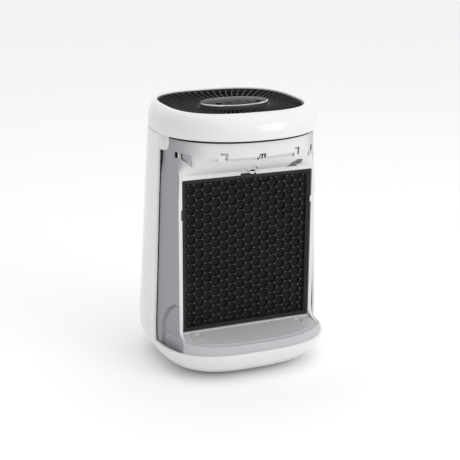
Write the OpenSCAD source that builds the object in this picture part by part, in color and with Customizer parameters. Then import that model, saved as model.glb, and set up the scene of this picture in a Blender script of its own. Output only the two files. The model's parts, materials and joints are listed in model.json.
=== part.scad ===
// Air purifier with its front cover lifted off: a tapered white shell, a sloping grey deck,
// a square filter cartridge, a radial fan in a scroll behind it and an outlet grille on top.
// Millimetres. +Z is up, the front faces -Y, and the origin is on the floor under the middle.

/* [Body] */
// Overall width, at the widest line of the base
body_w = 350; // [340:1:360]
// Overall depth, at the widest line of the base
body_d = 325; // [320:1:335]
// Overall height, floor to the crown of the console
body_h = 520; // [510:1:540]
// Width just under the top band
neck_w = 321; // [315:1:325]
// Wall of the white mouldings
wall = 3; // [2.5:0.1:3.5]
// Radius of the bowl that the base curves in with
bowl_r = 65; // [60:1:65]
// Where the rear shell ends towards the front, as a Y value
shell_front_y = -31; // [-33:1:-29]

/* [Top] */
// Height of the top band
band_h = 46; // [42:1:48]
// Width of the opening that the grille fills
opening_w = 267; // [255:1:270]
// Number of louvres
louvres = 60; // [48:4:80]
// Width of the oval console
console_w = 138; // [130:1:145]
// Depth of the oval console
console_d = 86; // [80:1:90]

/* [Filter] */
// Width of the filter cartridge
filter_w = 264; // [260:1:266]
// Height of the filter cartridge
filter_h = 300; // [294:1:302]
// Thickness of the filter cartridge
filter_t = 42; // [38:1:44]
// Distance between neighbouring honeycomb cells
cell_pitch = 19.5; // [18:0.1:22]
// How far the cartridge pulls forward to come clear of the body
filter_travel = 130; // [126:1:150]

/* [Fan] */
// Height of the fan axis
fan_z = 237; // [232:1:240]
// Outer radius of the impeller
impeller_r = 95; // [88:1:96]
// Number of blades
blades = 36; // [24:1:40]
// Radius of the motor shaft
shaft_r = 5; // [4:0.5:6]

/* [Controls] */
// Radius of a key cap
key_r = 5.5; // [4.5:0.5:6]
// Distance between neighbouring keys
key_pitch = 20; // [18:1:21]
// Travel of a key
key_travel = 0.8; // [0.5:0.1:1]
// Travel of the cover switch's plunger
plunger_travel = 3; // [2:0.5:3]

/* [Hidden] */

big = 600;
eps = 0.01;
plan_points = 72;
fine = 48;
touch_gap = 0.3;

// Heights of the outer form.
foot_h = 5;
// The rim under the deck stands this much further forward than the widest line behind it.
rim_forward = 1.6;
bowl_z = foot_h + bowl_r;
full_z = 100;
band_z = body_h - 52;
lip_z = band_z + band_h;
rim_z = 57.7;

// Plan of the base and of the neck. The neck's centre sits towards the front.
plan_n_base = 2.9;
plan_n_neck = 2.35;
neck_yc = -10;
neck_front = 142.2;
neck_back = 160;

// Plan of the top opening.
opening_a = opening_w / 2;
opening_b = 130;
opening_n = 2.8;
opening_yc = 11;

// Front housing. The rim stands just in front of the filter's face.
filter_y = -79;
filter_z = 87.3;
filter_gap = 1;
rim_y = filter_y - 4;
rim_half = filter_w / 2 + 6;
rim_top = 396;
rim_low = 83;
cavity_back = filter_y + filter_t + 1;
back_plate = 3;
guard_r = 102;
cheek_t = 2.5;
groove_w = 8;

// Deck: the grey step in front of the filter.
deck_half = 144;
deck_back_z = 84;
deck_slope = 6;
deck_t = 2.5;
deck_front = 157.8;
ledge_z = 54.5;

// Fascia above the filter.
fascia_top = band_z + 4;
crease_z = 434;
fascia_inset = 7.5;

// Console on top of the grille.
console_yc = -10;
console_z = body_h - 20;
lens_z = body_h - 5;
keys_y = -32;

// Fan and scroll along Y.
scroll_y0 = -21;
scroll_y1 = 82;
scroll_join = 30;
scroll_r0 = 102;
scroll_grow = 36;
scroll_wall = 2;
impeller_y0 = -12;
impeller_y1 = 50;
motor_y0 = 56;
motor_y1 = 106;
motor_r = 40;
outlet_x0 = 40;
outlet_z = 400;
duct_top = 492;
duct_half = 112;
duct_y0 = -60;
duct_y1 = 94;

function lerp(a, b, t) = a + (b - a) * t;
function clamp01(t) = min(1, max(0, t));
function rise(z) = clamp01((z - full_z) / (band_z - full_z));
function lean(z) = clamp01((z - bowl_z) / (band_z - bowl_z));

// How far the bowl has curved in at height z, for a bowl of radius r about the same centre line.
function bowl_in(z, r) = z >= bowl_z ? 0 : r * (1 - sqrt(max(0, 1 - pow((bowl_z - z) / r, 2))));

// A closed rounded plan: half-width a, depth f ahead of and b behind the line y = yc, exponent n.
function plan(a, f, b, n, yc) = [
    for (i = [0:plan_points - 1])
        let (t = 360 * i / plan_points, c = cos(t), s = sin(t))
        [a * sign(c) * pow(abs(c), 2 / n), yc + (s < 0 ? f : b) * sign(s) * pow(abs(s), 2 / n)]
];
function at_z(outline, z) = [for (p = outline) [p[0], p[1], z]];

// The outer envelope's plan at height z, drawn in by inset all round.
function body_plan(z, inset) = plan(
    lerp(body_w, neck_w, rise(z)) / 2 - inset,
    lerp(body_d / 2, neck_front, lean(z)) - inset,
    lerp(body_d / 2, neck_back, lean(z)) - inset,
    lerp(plan_n_base, plan_n_neck, lean(z)),
    lerp(0, neck_yc, lean(z))
);

// Skin through a stack of rings with equal point counts, lowest first, counter-clockwise from above.
module loft(rings) {
    count = len(rings[0]);
    points = [for (ring = rings) each ring];
    sides = [
        for (k = [0:len(rings) - 2], i = [0:count - 1])
            let (j = (i + 1) % count)
            each [
                [k * count + i, (k + 1) * count + j, k * count + j],
                [k * count + i, (k + 1) * count + i, (k + 1) * count + j]
            ]
    ];
    low = [for (i = [0:count - 1]) i];
    high = [for (i = [count - 1:-1:0]) (len(rings) - 1) * count + i];
    polyhedron(points, concat(sides, [low, high]), convexity = 6);
}

// A bar with its length along Y, from y0 to y1.
module rod_y(r, y0, y1, sides = fine) {
    translate([0, y0, 0]) rotate([-90, 0, 0]) cylinder(r = r, h = y1 - y0, $fn = sides);
}
// A flat shape drawn in X and Z, given depth from y0 to y1.
module slab_y(y0, y1) {
    translate([0, y1, 0]) rotate([90, 0, 0]) linear_extrude(y1 - y0) children();
}
module block(x0, x1, y0, y1, z0, z1) {
    translate([x0, y0, z0]) cube([x1 - x0, y1 - y0, z1 - z0]);
}
module both_sides() {
    children();
    mirror([1, 0, 0]) children();
}

// ---- Outer mouldings ----

bowl_steps = 7;
wall_heights = [bowl_z, full_z, 170, 245, 320, 395, band_z];
function bowl_ring(k, inset, r) =
    let (z = bowl_z - r * cos(90 * k / bowl_steps), drawn = inset + bowl_in(z, r))
    at_z(plan(body_w / 2 - drawn, body_d / 2 + rim_forward - drawn, body_d / 2 - drawn, plan_n_base, 0), z);
function envelope(inset) = concat(
    [for (k = [0:bowl_steps - 1]) bowl_ring(k, inset, bowl_r - inset)],
    [for (z = wall_heights) at_z(body_plan(z, inset), z)]
);

ear_w = 17;
ear_low = band_z - 30;
grip_half = 56;
grip_low = 400;
grip_high = 436;
gland_z = 86;
gland_r = 9;
access_x = 60;
access_y = 44;
module outer_shell() color("white") {
    difference() {
        loft(envelope(0));
        loft(concat(
            envelope(wall),
            [at_z(body_plan(band_z, wall), band_z + 1)]
        ));
        block(-big, big, -big, shell_front_y, rim_z, big);
        block(-access_x, access_x, -access_y, access_y, 0, bowl_z / 2);
        block(-grip_half, grip_half, 100, big, grip_low, grip_high);
        translate([0, 0, gland_z]) rod_y(gland_r, 140, 180);
    }
    both_sides() {
        shell_ear();
        shell_return();
    }
}
// Thickened front edge of the shell, beside the groove.
module shell_return() {
    depth = 4;
    loft([
        for (z = [rim_z, full_z, band_z])
            let (x = lerp(body_w, neck_w, rise(z)) / 2)
            at_z([
                [-x + wall - 0.8, shell_front_y],
                [-x + 5.4, shell_front_y],
                [-x + 5.4, shell_front_y + depth],
                [-x + wall - 0.8, shell_front_y + depth]
            ], z)
    ]);
}
// The tab at the top of the shell's front edge, under the band.
module shell_ear() {
    x0 = -neck_w / 2 + wall + 0.7;
    slab_y(shell_front_y, shell_front_y + wall) difference() {
        translate([x0, ear_low]) square([ear_w, band_z - ear_low]);
        translate([x0 + ear_w - 8, ear_low]) square([8, 8]);
    }
    translate([x0 + ear_w - 8, 0, ear_low + 8]) rod_y(8, shell_front_y, shell_front_y + wall);
}

module bottom_cover() color("dimgray") {
    lap = 8;
    block(-access_x - lap, access_x + lap, -access_y - lap, access_y + lap, foot_h + wall, foot_h + wall + 2.5);
}

foot_x = 72;
foot_y = 62;
foot_r = 12;
module foot_pads() color([0.15, 0.15, 0.16])
    for (x = [-foot_x, foot_x], y = [-foot_y, foot_y])
        translate([x, y, 0]) cylinder(r = foot_r, h = foot_h, $fn = fine);

// ---- Front housing, deck and fascia ----

// Half-width of the cheek where it meets the groove beside the shell.
function cheek_x(z) = lerp(body_w, neck_w, rise(z)) / 2 - groove_w;
cheek_back = shell_front_y + 1;
module cheek() {
    flare_top = 96;
    loft([
        for (z = [ledge_z + deck_t, 82, flare_top, full_z, rim_top])
            let (front_x = z < flare_top ? deck_half : rim_half)
            at_z([
                [-cheek_x(z), cheek_back],
                [-front_x, rim_y],
                [-rim_half, rim_y],
                [-rim_half, rim_y + 2 * cheek_t],
                [-cheek_x(z) + cheek_t, cheek_back]
            ], z)
    ]);
}
module filter_space() {
    block(-filter_w / 2 - filter_gap, filter_w / 2 + filter_gap, -big, cavity_back,
          filter_z - filter_gap, filter_z + filter_h + filter_gap);
}
tab_half = 15;
tab_h = 4;
module front_housing() color("whitesmoke") {
    both_sides() cheek();
    difference() {
        block(-rim_half, rim_half, rim_y, cavity_back + back_plate, rim_low, rim_top);
        filter_space();
        block(-rim_half + 3, rim_half - 3, filter_y + filter_t - 2, cavity_back, filter_z + 6, rim_top - 16);
        block(-tab_half - 1, tab_half + 1, -big, filter_y + 6, filter_z + filter_h, filter_z + filter_h + tab_h + 1);
        translate([0, 0, fan_z]) rod_y(guard_r, cavity_back - 2, cavity_back + back_plate + 1, 96);
    }
}

function deck_top(y) = deck_back_z - (y - filter_y) * -tan(deck_slope);
// Plan of the deck's front wall, set just inside the white rim.
function deck_plan(inset) = plan(body_w / 2 - 6.2 - inset, deck_front - inset, deck_front - inset, 3, 0);
module deck_solid(inset, z0, lift) {
    intersection() {
        translate([0, 0, z0]) linear_extrude(60) polygon(deck_plan(inset));
        block(-deck_half + inset, deck_half - inset, -big, rim_y, z0, 120);
        translate([0, filter_y, deck_back_z + lift]) rotate([deck_slope, 0, 0])
            translate([-big / 2, -big / 2, -120]) cube([big, big, 120]);
    }
}
module base_deck() color([0.66, 0.67, 0.69]) {
    difference() {
        deck_solid(0, ledge_z, 0);
        deck_solid(deck_t, ledge_z - 1, -deck_t);
    }
    // Ledge that the missing cover's sides stand on, beside the deck.
    difference() {
        translate([0, 0, ledge_z]) linear_extrude(deck_t) polygon(deck_plan(0));
        block(-deck_half, deck_half, -big, rim_y - 20, 0, big);
        block(-rim_half - 6, rim_half + 6, -big, big, 0, big);
        block(-big, big, shell_front_y + 2, big, 0, big);
    }
}
dimple_x = 105.6;
dimple_y = -95;
dimple_r = 7;
module deck_plate() color([0.70, 0.71, 0.73]) {
    plate_h = 1;
    difference() {
        intersection() {
            translate([0, 0, 60]) linear_extrude(60) polygon(plan(138, deck_front - 8, 120, 3, 0));
            block(-125, 125, -big, rim_y, 60, 120);
            translate([0, filter_y, deck_back_z]) rotate([deck_slope, 0, 0])
                translate([-big / 2, -big / 2, 0]) cube([big, big, plate_h]);
        }
        for (x = [-dimple_x, dimple_x])
            translate([x, dimple_y, 60]) cylinder(r = dimple_r, h = 60, $fn = fine);
    }
}

// The fascia's outline at height z; below the crease it falls back to the filter rim.
function fascia_ring(z, inset) =
    let (t = clamp01((crease_z - z) / (crease_z - rim_top)))
    at_z(plan(
        lerp(neck_w / 2 - fascia_inset, cheek_x(rim_top) - 1, t) - inset,
        lerp(neck_front - fascia_inset, neck_yc - rim_y, t) - inset,
        neck_back - 20 - inset,
        lerp(plan_n_neck, 7, t * t),
        neck_yc), z);
fascia_heights = [rim_top, 402, 410, 418, 426, crease_z, 440, 455, fascia_top];
hook_z0 = 429;
hook_z1 = 440.5;
pocket_x = 73;
pocket_z0 = 432;
pocket_z1 = 448;
switch_half = 8.5;
switch_z0 = 429;
switch_z1 = 443;
sensor_x = 88;
sensor_half = 14;
sensor_y = -90;
sensor_z = 399.5;
// Slope of the fascia between the crease and the rim, from the vertical.
fall_angle = -56;
module fascia() color("white") {
    difference() {
        loft([for (z = fascia_heights) fascia_ring(z, 0)]);
        loft([for (z = concat([rim_top - 1], fascia_heights, [fascia_top + 1])) fascia_ring(z, cheek_t)]);
        block(-big, big, shell_front_y - 1, big, 0, big);
        both_sides() block(-big, -130.5, -83.5, -68.5, hook_z0, hook_z1);
        block(-switch_half, switch_half, -big, -120, switch_z0, switch_z1);
        block(sensor_x - sensor_half, sensor_x + sensor_half, -130, -80, 400, 412);
    }
}
// Hook bars inside the two slots at the corners; the front cover hangs on them.
module cover_catches() color("white") {
    both_sides() {
        block(-137.5, -134.5, -75, -71.5, hook_z0 - 3, hook_z1 + 3);
        block(-134.5, -120, -75, -71.5, hook_z1 - 6, hook_z1 + 3);
    }
}

// ---- Top ----

band_steps = 6;
// Plan of the band at step k of its rounded shoulder.
function band_ring(k, inset) =
    let (
        angle = 90 * k / band_steps,
        t = 1 - cos(angle),
        z = lerp(band_z + 8, lip_z, sin(angle))
    )
    at_z(plan(
        lerp(neck_w / 2 + 0.8, opening_a + 1, t) - inset,
        lerp(neck_front, opening_b + 1, t) - inset,
        lerp(neck_back, opening_b + 1, t) - inset,
        lerp(plan_n_neck, opening_n, t),
        lerp(neck_yc, opening_yc, t)), z);
function band_foot(inset, z) =
    at_z(plan(neck_w / 2 + 0.8 - inset, neck_front - inset, neck_back - inset, plan_n_neck, neck_yc), z);
module top_band() color("white") {
    difference() {
        loft(concat([band_foot(0, band_z)], [for (k = [0:band_steps]) band_ring(k, 0)]));
        loft(concat(
            [band_foot(wall, band_z - 1)],
            [for (k = [0:band_steps - 1]) [for (p = band_ring(k, wall)) [p[0], p[1], p[2] - wall]]]
        ));
        translate([0, 0, lip_z - 30])
            linear_extrude(60) polygon(plan(opening_a, opening_b, opening_b, opening_n, opening_yc));
    }
}

module oval(w, d, z0, z1) {
    translate([0, console_yc, z0]) linear_extrude(z1 - z0) polygon(plan(w / 2, d / 2, d / 2, 2, 0));
}
louvre_t = 2;
louvre_h = 8;
// The louvres lie this far inside the depth of the rings that carry them.
louvre_step = 0.6;
grille_z = lip_z - 4;
// How far along direction t the console's collar lies from the console's centre.
function oval_reach(t) =
    let (w = console_w / 2 + 2.5, d = console_d / 2 + 2.5)
    w * d / sqrt(pow(d * cos(t), 2) + pow(w * sin(t), 2));
// How far along direction t the opening's edge lies, found by halving the step.
function opening_reach(t, a, b, r = 128, step = 64) =
    step < 0.05 ? r : opening_reach(t, a, b, r + (inside_opening(r, t, a, b) ? step : -step), step / 2);
function inside_opening(r, t, a, b) =
    pow(abs(r * cos(t)) / a, opening_n)
    + pow(abs(r * sin(t) + console_yc - opening_yc) / b, opening_n) < 1;
module top_grille() color([0.06, 0.06, 0.065]) {
    ring_w = 5;
    a = opening_a - touch_gap;
    b = opening_b - touch_gap;
    difference() {
        translate([0, 0, grille_z - louvre_h]) linear_extrude(louvre_h)
            polygon(plan(a, b, b, opening_n, opening_yc));
        translate([0, 0, grille_z - louvre_h - 1]) linear_extrude(louvre_h + 2)
            polygon(plan(a - ring_w, b - ring_w, b - ring_w, opening_n, opening_yc));
    }
    for (k = [0:louvres - 1])
        let (t = 360 * k / louvres, r0 = oval_reach(t), r1 = opening_reach(t, a - ring_w / 2, b - ring_w / 2))
        translate([0, console_yc, grille_z - louvre_h + louvre_step]) rotate([0, 0, t])
            translate([r0, -louvre_t / 2, 0]) cube([r1 - r0, louvre_t, louvre_h - 2 * louvre_step]);
    difference() {
        oval(console_w + 10, console_d + 10, grille_z - louvre_h, grille_z);
        oval(console_w, console_d, 0, body_h);
    }
}
module console_base() color([0.05, 0.05, 0.055]) {
    difference() {
        oval(console_w, console_d, console_z, lens_z - 2);
        oval(console_w - 5, console_d - 5, console_z + 2.5, lens_z);
    }
}
module console_trim() color([0.55, 0.56, 0.58]) {
    difference() {
        oval(console_w, console_d, lens_z - 2, lens_z);
        oval(console_w - 5, console_d - 5, 0, body_h);
    }
}
lens_steps = 4;
module console_lens() color([0.02, 0.02, 0.025]) {
    rise_h = body_h - lens_z;
    difference() {
        loft([
            for (k = [0:lens_steps])
                let (s = 1 - pow(k / lens_steps, 2) * 0.98)
                at_z([for (p = plan((console_w - 1) / 2 * s, (console_d - 1) / 2 * s, (console_d - 1) / 2 * s, 2, 0))
                    [p[0], p[1] + console_yc]], lens_z + rise_h * (1 - s * s))
        ]);
        for (k = [-2:2])
            translate([k * key_pitch, keys_y, 0]) cylinder(r = key_r + touch_gap, h = big, $fn = fine);
    }
}
board_z = lens_z - 8;
dome_h = 2;
dome_top = board_z + 1.6 + dome_h;
// A key cap stands a travel above its dome, and its head just out of the lens.
module key_cap(k) {
    translate([k * key_pitch, keys_y, dome_top + key_travel + 0.2])
        cylinder(r = key_r, h = body_h - 1 - dome_top - key_travel - 0.2, $fn = fine);
    translate([k * key_pitch, keys_y, dome_top + key_travel + 0.2])
        cylinder(r = key_r + 1.5, h = lens_z - touch_gap - dome_top - key_travel - 0.2, $fn = fine);
}
module key_power() color("silver") key_cap(-2);
module key_speed() color("silver") key_cap(-1);
module key_mode() color("silver") key_cap(0);
module key_timer() color("silver") key_cap(1);
module key_light() color("silver") key_cap(2);
module key_board() color([0.05, 0.25, 0.12]) {
    oval(console_w - 9, console_d - 9, board_z, board_z + 1.6);
    for (x = [-50, 50]) translate([x, console_yc, console_z + 2.5]) cylinder(r = 3, h = board_z - console_z - 2.5, $fn = 32);
}
module key_domes() color("silver")
    for (k = [-2:2])
        translate([k * key_pitch, keys_y, board_z + 1.6]) cylinder(r = 3, h = dome_h, $fn = 32);

// ---- Small parts behind the fascia ----

module sensor_grille() color([0.35, 0.35, 0.36]) {
    bars = 8;
    rows = 5;
    pitch = 3.2;
    hole = 2.2;
    h = 18;
    translate([sensor_x, sensor_y, sensor_z]) rotate([-fall_angle, 0, 0]) difference() {
        block(-sensor_half, sensor_half, 0, 2, 0, h);
        for (i = [0:bars - 1], j = [0:rows - 1])
            translate([-sensor_half + 1.6 + i * pitch, -1, 1 + j * pitch]) cube([hole, 4, hole]);
    }
}
module sensor_module() color([0.12, 0.12, 0.13])
    difference() {
        block(sensor_x - 20, sensor_x + 20, -82, -62, 402, 432);
        block(sensor_x - 12, sensor_x + 12, -90, -70, 405, 417);
    }
module cover_switch() color([0.1, 0.1, 0.1])
    difference() {
        block(-8, 8, -126, -104, switch_z0 - 1, switch_z1 + 3);
        block(-3, 3, -140, -112, 432, 440);
    }
module switch_plunger() color([0.12, 0.12, 0.12])
    block(-2.6, 2.6, -139, -116, 432.4, 439.6);

// ---- Filter cartridge ----

frame_w = 7;
module filter_frame() color([0.13, 0.13, 0.14]) {
    z1 = filter_z + filter_h;
    difference() {
        block(-filter_w / 2, filter_w / 2, filter_y, filter_y + filter_t - 2, filter_z, z1);
        block(-filter_w / 2 + frame_w, filter_w / 2 - frame_w, filter_y - 1, filter_y + filter_t, filter_z + frame_w, z1 - frame_w);
    }
    block(-tab_half, tab_half, filter_y, filter_y + 5, z1 - 0.5, z1 + tab_h);
}
module carbon_grid() color([0.10, 0.10, 0.11]) {
    grid_t = 2;
    x_half = filter_w / 2 - frame_w;
    z0 = filter_z + frame_w;
    z1 = filter_z + filter_h - frame_w;
    col_w = cell_pitch * sqrt(3) / 2;
    cols = floor((2 * x_half - 4) / col_w) - 1;
    rows = floor((z1 - z0 - 4) / cell_pitch) - 1;
    difference() {
        block(-x_half, x_half, filter_y + 2, filter_y + 2 + grid_t, z0, z1);
        for (col = [0:cols], row = [0:rows - col % 2])
            translate([
                (col - cols / 2) * col_w,
                filter_y + 1,
                (z0 + z1) / 2 + (row - rows / 2 + (col % 2) / 2) * cell_pitch
            ]) rotate([-90, 0, 0]) cylinder(r = cell_pitch / sqrt(3) - 1, h = grid_t + 2, $fn = 6);
    }
}
module carbon_bed() color([0.05, 0.05, 0.05])
    block(-filter_w / 2 + frame_w, filter_w / 2 - frame_w, filter_y + 4, filter_y + 14,
          filter_z + frame_w, filter_z + filter_h - frame_w);
// One pleated sheet, folded back and forth between the frame's sides.
module pleated_media() color("white") {
    y0 = filter_y + 15;
    y1 = filter_y + filter_t - 3;
    sheet = 1.2;
    pleats = 40;
    x0 = -filter_w / 2 + frame_w;
    step = (filter_w - 2 * frame_w) / pleats;
    front = [for (i = [0:pleats]) [x0 + i * step, i % 2 == 0 ? y0 : y1 - sheet]];
    rear = [for (i = [pleats:-1:0]) [x0 + i * step, i % 2 == 0 ? y0 + sheet : y1]];
    translate([0, 0, filter_z + frame_w]) linear_extrude(filter_h - 2 * frame_w) polygon(concat(front, rear));
}
module filter_gasket() color([0.08, 0.08, 0.08]) {
    y0 = filter_y + filter_t - 2;
    difference() {
        block(-filter_w / 2 + 1, filter_w / 2 - 1, y0, y0 + 2, filter_z + 1, filter_z + filter_h - 1);
        block(-filter_w / 2 + 6, filter_w / 2 - 6, y0 - 1, y0 + 3, filter_z + 6, filter_z + filter_h - 6);
    }
}

// ---- Fan ----

module fan_guard() color([0.2, 0.2, 0.21]) translate([0, 0, fan_z]) {
    y0 = cavity_back + back_plate;
    for (r = [18, 34, 50, 66, 82])
        difference() {
            rod_y(r + 1.2, y0, y0 + 3);
            rod_y(r - 1.2, y0 - 1, y0 + 4);
        }
    difference() {
        rod_y(guard_r + 6, y0, y0 + 3, 96);
        rod_y(guard_r - 4, y0 - 1, y0 + 4, 96);
    }
    for (k = [0:7])
        rotate([0, 45 * k, 0]) block(16.9, guard_r - 3.5, y0, y0 + 3, -1.2, 1.2);
}
// The scroll seen from the front: it grows round the fan and rises into the outlet on the right.
module scroll_profile(extra) {
    top = outlet_z - fan_z;
    translate([0, fan_z]) polygon(concat(
        [[outlet_x0 - extra, top], [outlet_x0 - extra, scroll_r0 * 0.93 + extra]],
        [for (k = [0:48])
            let (t = 68 + k * 292 / 48, r = scroll_r0 + scroll_grow * k / 48 + extra)
            [r * cos(t), r * sin(t)]],
        [[scroll_r0 + scroll_grow + extra, top]]
    ));
}
module scroll_half(y0, y1, plate_y0, plate_y1, hole_r) {
    difference() {
        slab_y(y0, y1) scroll_profile(0);
        slab_y(plate_y0 == y0 ? plate_y1 : y0 - 1, plate_y0 == y0 ? y1 + 1 : plate_y0) scroll_profile(-scroll_wall);
        translate([0, 0, fan_z]) rod_y(hole_r, y0 - 1, y1 + 1, 96);
        block(outlet_x0 + scroll_wall, scroll_r0 + scroll_grow - scroll_wall,
              plate_y0 == y0 ? plate_y1 : y0 - 1, plate_y0 == y0 ? y1 + 1 : plate_y0, outlet_z - 20, outlet_z + 1);
    }
}
module scroll_front() color([0.82, 0.83, 0.84])
    scroll_half(scroll_y0, scroll_join, scroll_y0, scroll_y0 + 2.5, 84);
module scroll_rear() color([0.80, 0.81, 0.82])
    scroll_half(scroll_join, scroll_y1, scroll_y1 - 2.5, scroll_y1, 48);
module inlet_ring() color([0.75, 0.76, 0.77])
    translate([0, scroll_y0, fan_z]) rotate([-90, 0, 0]) rotate_extrude($fn = 96)
        polygon([[84, -4], [98, -4], [98, 0], [84, 0], [84, 2.5], [80, 7], [78, 7], [78, 3], [81, -1]]);
// Duct that widens from the scroll's outlet to the opening under the grille.
function duct_ring(z, t, inset) = at_z([
    [lerp(outlet_x0, -duct_half, t) + inset, lerp(scroll_y0, duct_y0, t) + inset],
    [lerp(scroll_r0 + scroll_grow, duct_half, t) - inset, lerp(scroll_y0, duct_y0, t) + inset],
    [lerp(scroll_r0 + scroll_grow, duct_half, t) - inset, lerp(scroll_y1, duct_y1, t) - inset],
    [lerp(outlet_x0, -duct_half, t) + inset, lerp(scroll_y1, duct_y1, t) - inset]
], z);
module outlet_duct() color([0.78, 0.79, 0.8])
    difference() {
        loft([duct_ring(outlet_z, 0, 0), duct_ring(duct_top, 1, 0)]);
        loft([duct_ring(outlet_z - 1, 0, scroll_wall), duct_ring(outlet_z, 0, scroll_wall),
              duct_ring(duct_top, 1, scroll_wall), duct_ring(duct_top + 1, 1, scroll_wall)]);
    }
hub_r = 14;
module impeller() color([0.25, 0.26, 0.28]) translate([0, 0, fan_z]) {
    blade_y1 = impeller_y1 - 3;
    difference() {
        rod_y(impeller_r, blade_y1, impeller_y1, 96);
        rod_y(shaft_r, blade_y1 - 1, impeller_y1 + 1);
    }
    difference() {
        rod_y(hub_r, blade_y1 - 24, blade_y1);
        rod_y(shaft_r, blade_y1 - 25, blade_y1 + 1);
    }
    difference() {
        rod_y(impeller_r, impeller_y0, impeller_y0 + 3, 96);
        rod_y(impeller_r - 12, impeller_y0 - 1, impeller_y0 + 4, 96);
    }
    for (k = [0:blades - 1])
        rotate([0, 360 * k / blades, 0]) translate([impeller_r - 7, 0, 0]) rotate([0, 35, 0])
            block(-6, 6, impeller_y0 + 3 - eps, blade_y1 + eps, -0.8, 0.8);
}
module motor_shaft() color("silver") translate([0, 0, fan_z])
    rod_y(shaft_r, impeller_y1 - 38, motor_y1 - 4);
module hub_nut() color("gold") translate([0, 0, fan_z])
    difference() {
        rod_y(9, impeller_y1 - 34, impeller_y1 - 27, 6);
        rod_y(shaft_r, impeller_y1 - 40, impeller_y1);
    }
bearing_r = 11;
bearing_w = 7;
module motor_body() color([0.3, 0.31, 0.33]) translate([0, 0, fan_z])
    difference() {
        rod_y(motor_r, motor_y0, motor_y1, 96);
        rod_y(shaft_r + 1.5, motor_y0 - 1, motor_y1 - 2);
        rod_y(bearing_r, motor_y0 - 1, motor_y0 + bearing_w);
        rod_y(bearing_r, motor_y1 - bearing_w - 4, motor_y1 - 4);
    }
module motor_bearings() color("silver") translate([0, 0, fan_z])
    for (y = [motor_y0, motor_y1 - bearing_w - 4])
        difference() {
            rod_y(bearing_r, y, y + bearing_w);
            rod_y(shaft_r + 0.05, y - 1, y + bearing_w + 1);
        }
mount_r = 72;
screw_circle = 60;
module motor_mount() color([0.5, 0.51, 0.52]) translate([0, 0, fan_z])
    difference() {
        rod_y(mount_r, scroll_y1, scroll_y1 + 4, 96);
        rod_y(motor_r, scroll_y1 - 1, scroll_y1 + 5, 96);
        for (k = [0:3]) rotate([0, 45 + 90 * k, 0]) translate([screw_circle, 0, 0])
            rod_y(2.2, scroll_y1 - 1, scroll_y1 + 5, 24);
    }
module motor_screws() color("silver") translate([0, 0, fan_z])
    for (k = [0:3]) rotate([0, 45 + 90 * k, 0]) translate([screw_circle, 0, 0]) {
        rod_y(4, scroll_y1 + 4, scroll_y1 + 7, 24);
        rod_y(2.2, scroll_y1, scroll_y1 + 4, 24);
    }

// ---- Electronics, grip and inlet ----

box_x = 70;
box_y0 = 12;
box_y1 = 104;
box_z0 = 24;
box_z1 = 58;
module board_box() color([0.85, 0.85, 0.84]) {
    difference() {
        block(-box_x, box_x, box_y0, box_y1, box_z0, box_z1);
        block(-box_x + 2, box_x - 2, box_y0 + 2, box_y1 - 2, box_z0 + 2, box_z1 + 1);
    }
    for (x = [-box_x + 6, box_x - 6], y = [box_y0 + 38, box_y1 - 36])
        translate([x, y, foot_h + wall + 2.5]) cylinder(r = 4, h = box_z0 - foot_h - wall - 2.5, $fn = 32);
    for (x = [-box_x + 8, box_x - 8], y = [box_y0 + 8, box_y1 - 8])
        translate([x, y, box_z0 + 2]) cylinder(r = 3, h = 5, $fn = 32);
}
module main_board() color([0.1, 0.35, 0.18]) {
    z0 = box_z0 + 7;
    block(-box_x + 3, box_x - 3, box_y0 + 3, box_y1 - 3, z0, z0 + 1.6);
    block(-40, -12, 40, 66, z0 + 1.6, z0 + 20);
    for (x = [6, 22, 38]) translate([x, 50, z0 + 1.6]) cylinder(r = 6, h = 18, $fn = 32);
    block(-50, 40, 76, 88, z0 + 1.6, z0 + 12);
}
module board_cover() color([0.8, 0.8, 0.79])
    block(-box_x, box_x, box_y0, box_y1, box_z1, box_z1 + 2);

grip_back = 122;
module grip_cup() color([0.9, 0.9, 0.9])
    difference() {
        block(-grip_half + touch_gap, grip_half - touch_gap, grip_back, 147, grip_low + touch_gap, grip_high - touch_gap);
        block(-grip_half + 3, grip_half - 3, grip_back + 2.5, big, grip_low + 3, grip_high - 3);
    }
module cord_gland() color([0.1, 0.1, 0.1]) translate([0, 0, gland_z])
    difference() {
        union() {
            rod_y(gland_r, 152, 162);
            rod_y(gland_r + 4, 149, 152);
        }
        rod_y(4.1, 140, 170);
    }
module case_screws() color("silver")
    for (x = [-access_x - 4, access_x + 4], y = [-30, 30])
        translate([x, y, foot_h - 2.2]) {
            cylinder(r = 3.5, h = 2.2, $fn = 24);
        }

outer_shell();
bottom_cover();
foot_pads();
base_deck();
deck_plate();
front_housing();
fascia();
cover_catches();
top_band();
top_grille();
console_base();
console_trim();
console_lens();
key_power();
key_speed();
key_mode();
key_timer();
key_light();
key_board();
key_domes();
sensor_grille();
sensor_module();
cover_switch();
switch_plunger();
filter_frame();
carbon_grid();
carbon_bed();
pleated_media();
filter_gasket();
fan_guard();
inlet_ring();
scroll_front();
scroll_rear();
outlet_duct();
impeller();
motor_shaft();
hub_nut();
motor_body();
motor_bearings();
motor_mount();
motor_screws();
board_box();
main_board();
board_cover();
grip_cup();
cord_gland();
case_screws();
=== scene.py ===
import json
import math

import bmesh
import bpy
import numpy as np
from mathutils import Matrix, Vector, geometry


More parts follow.
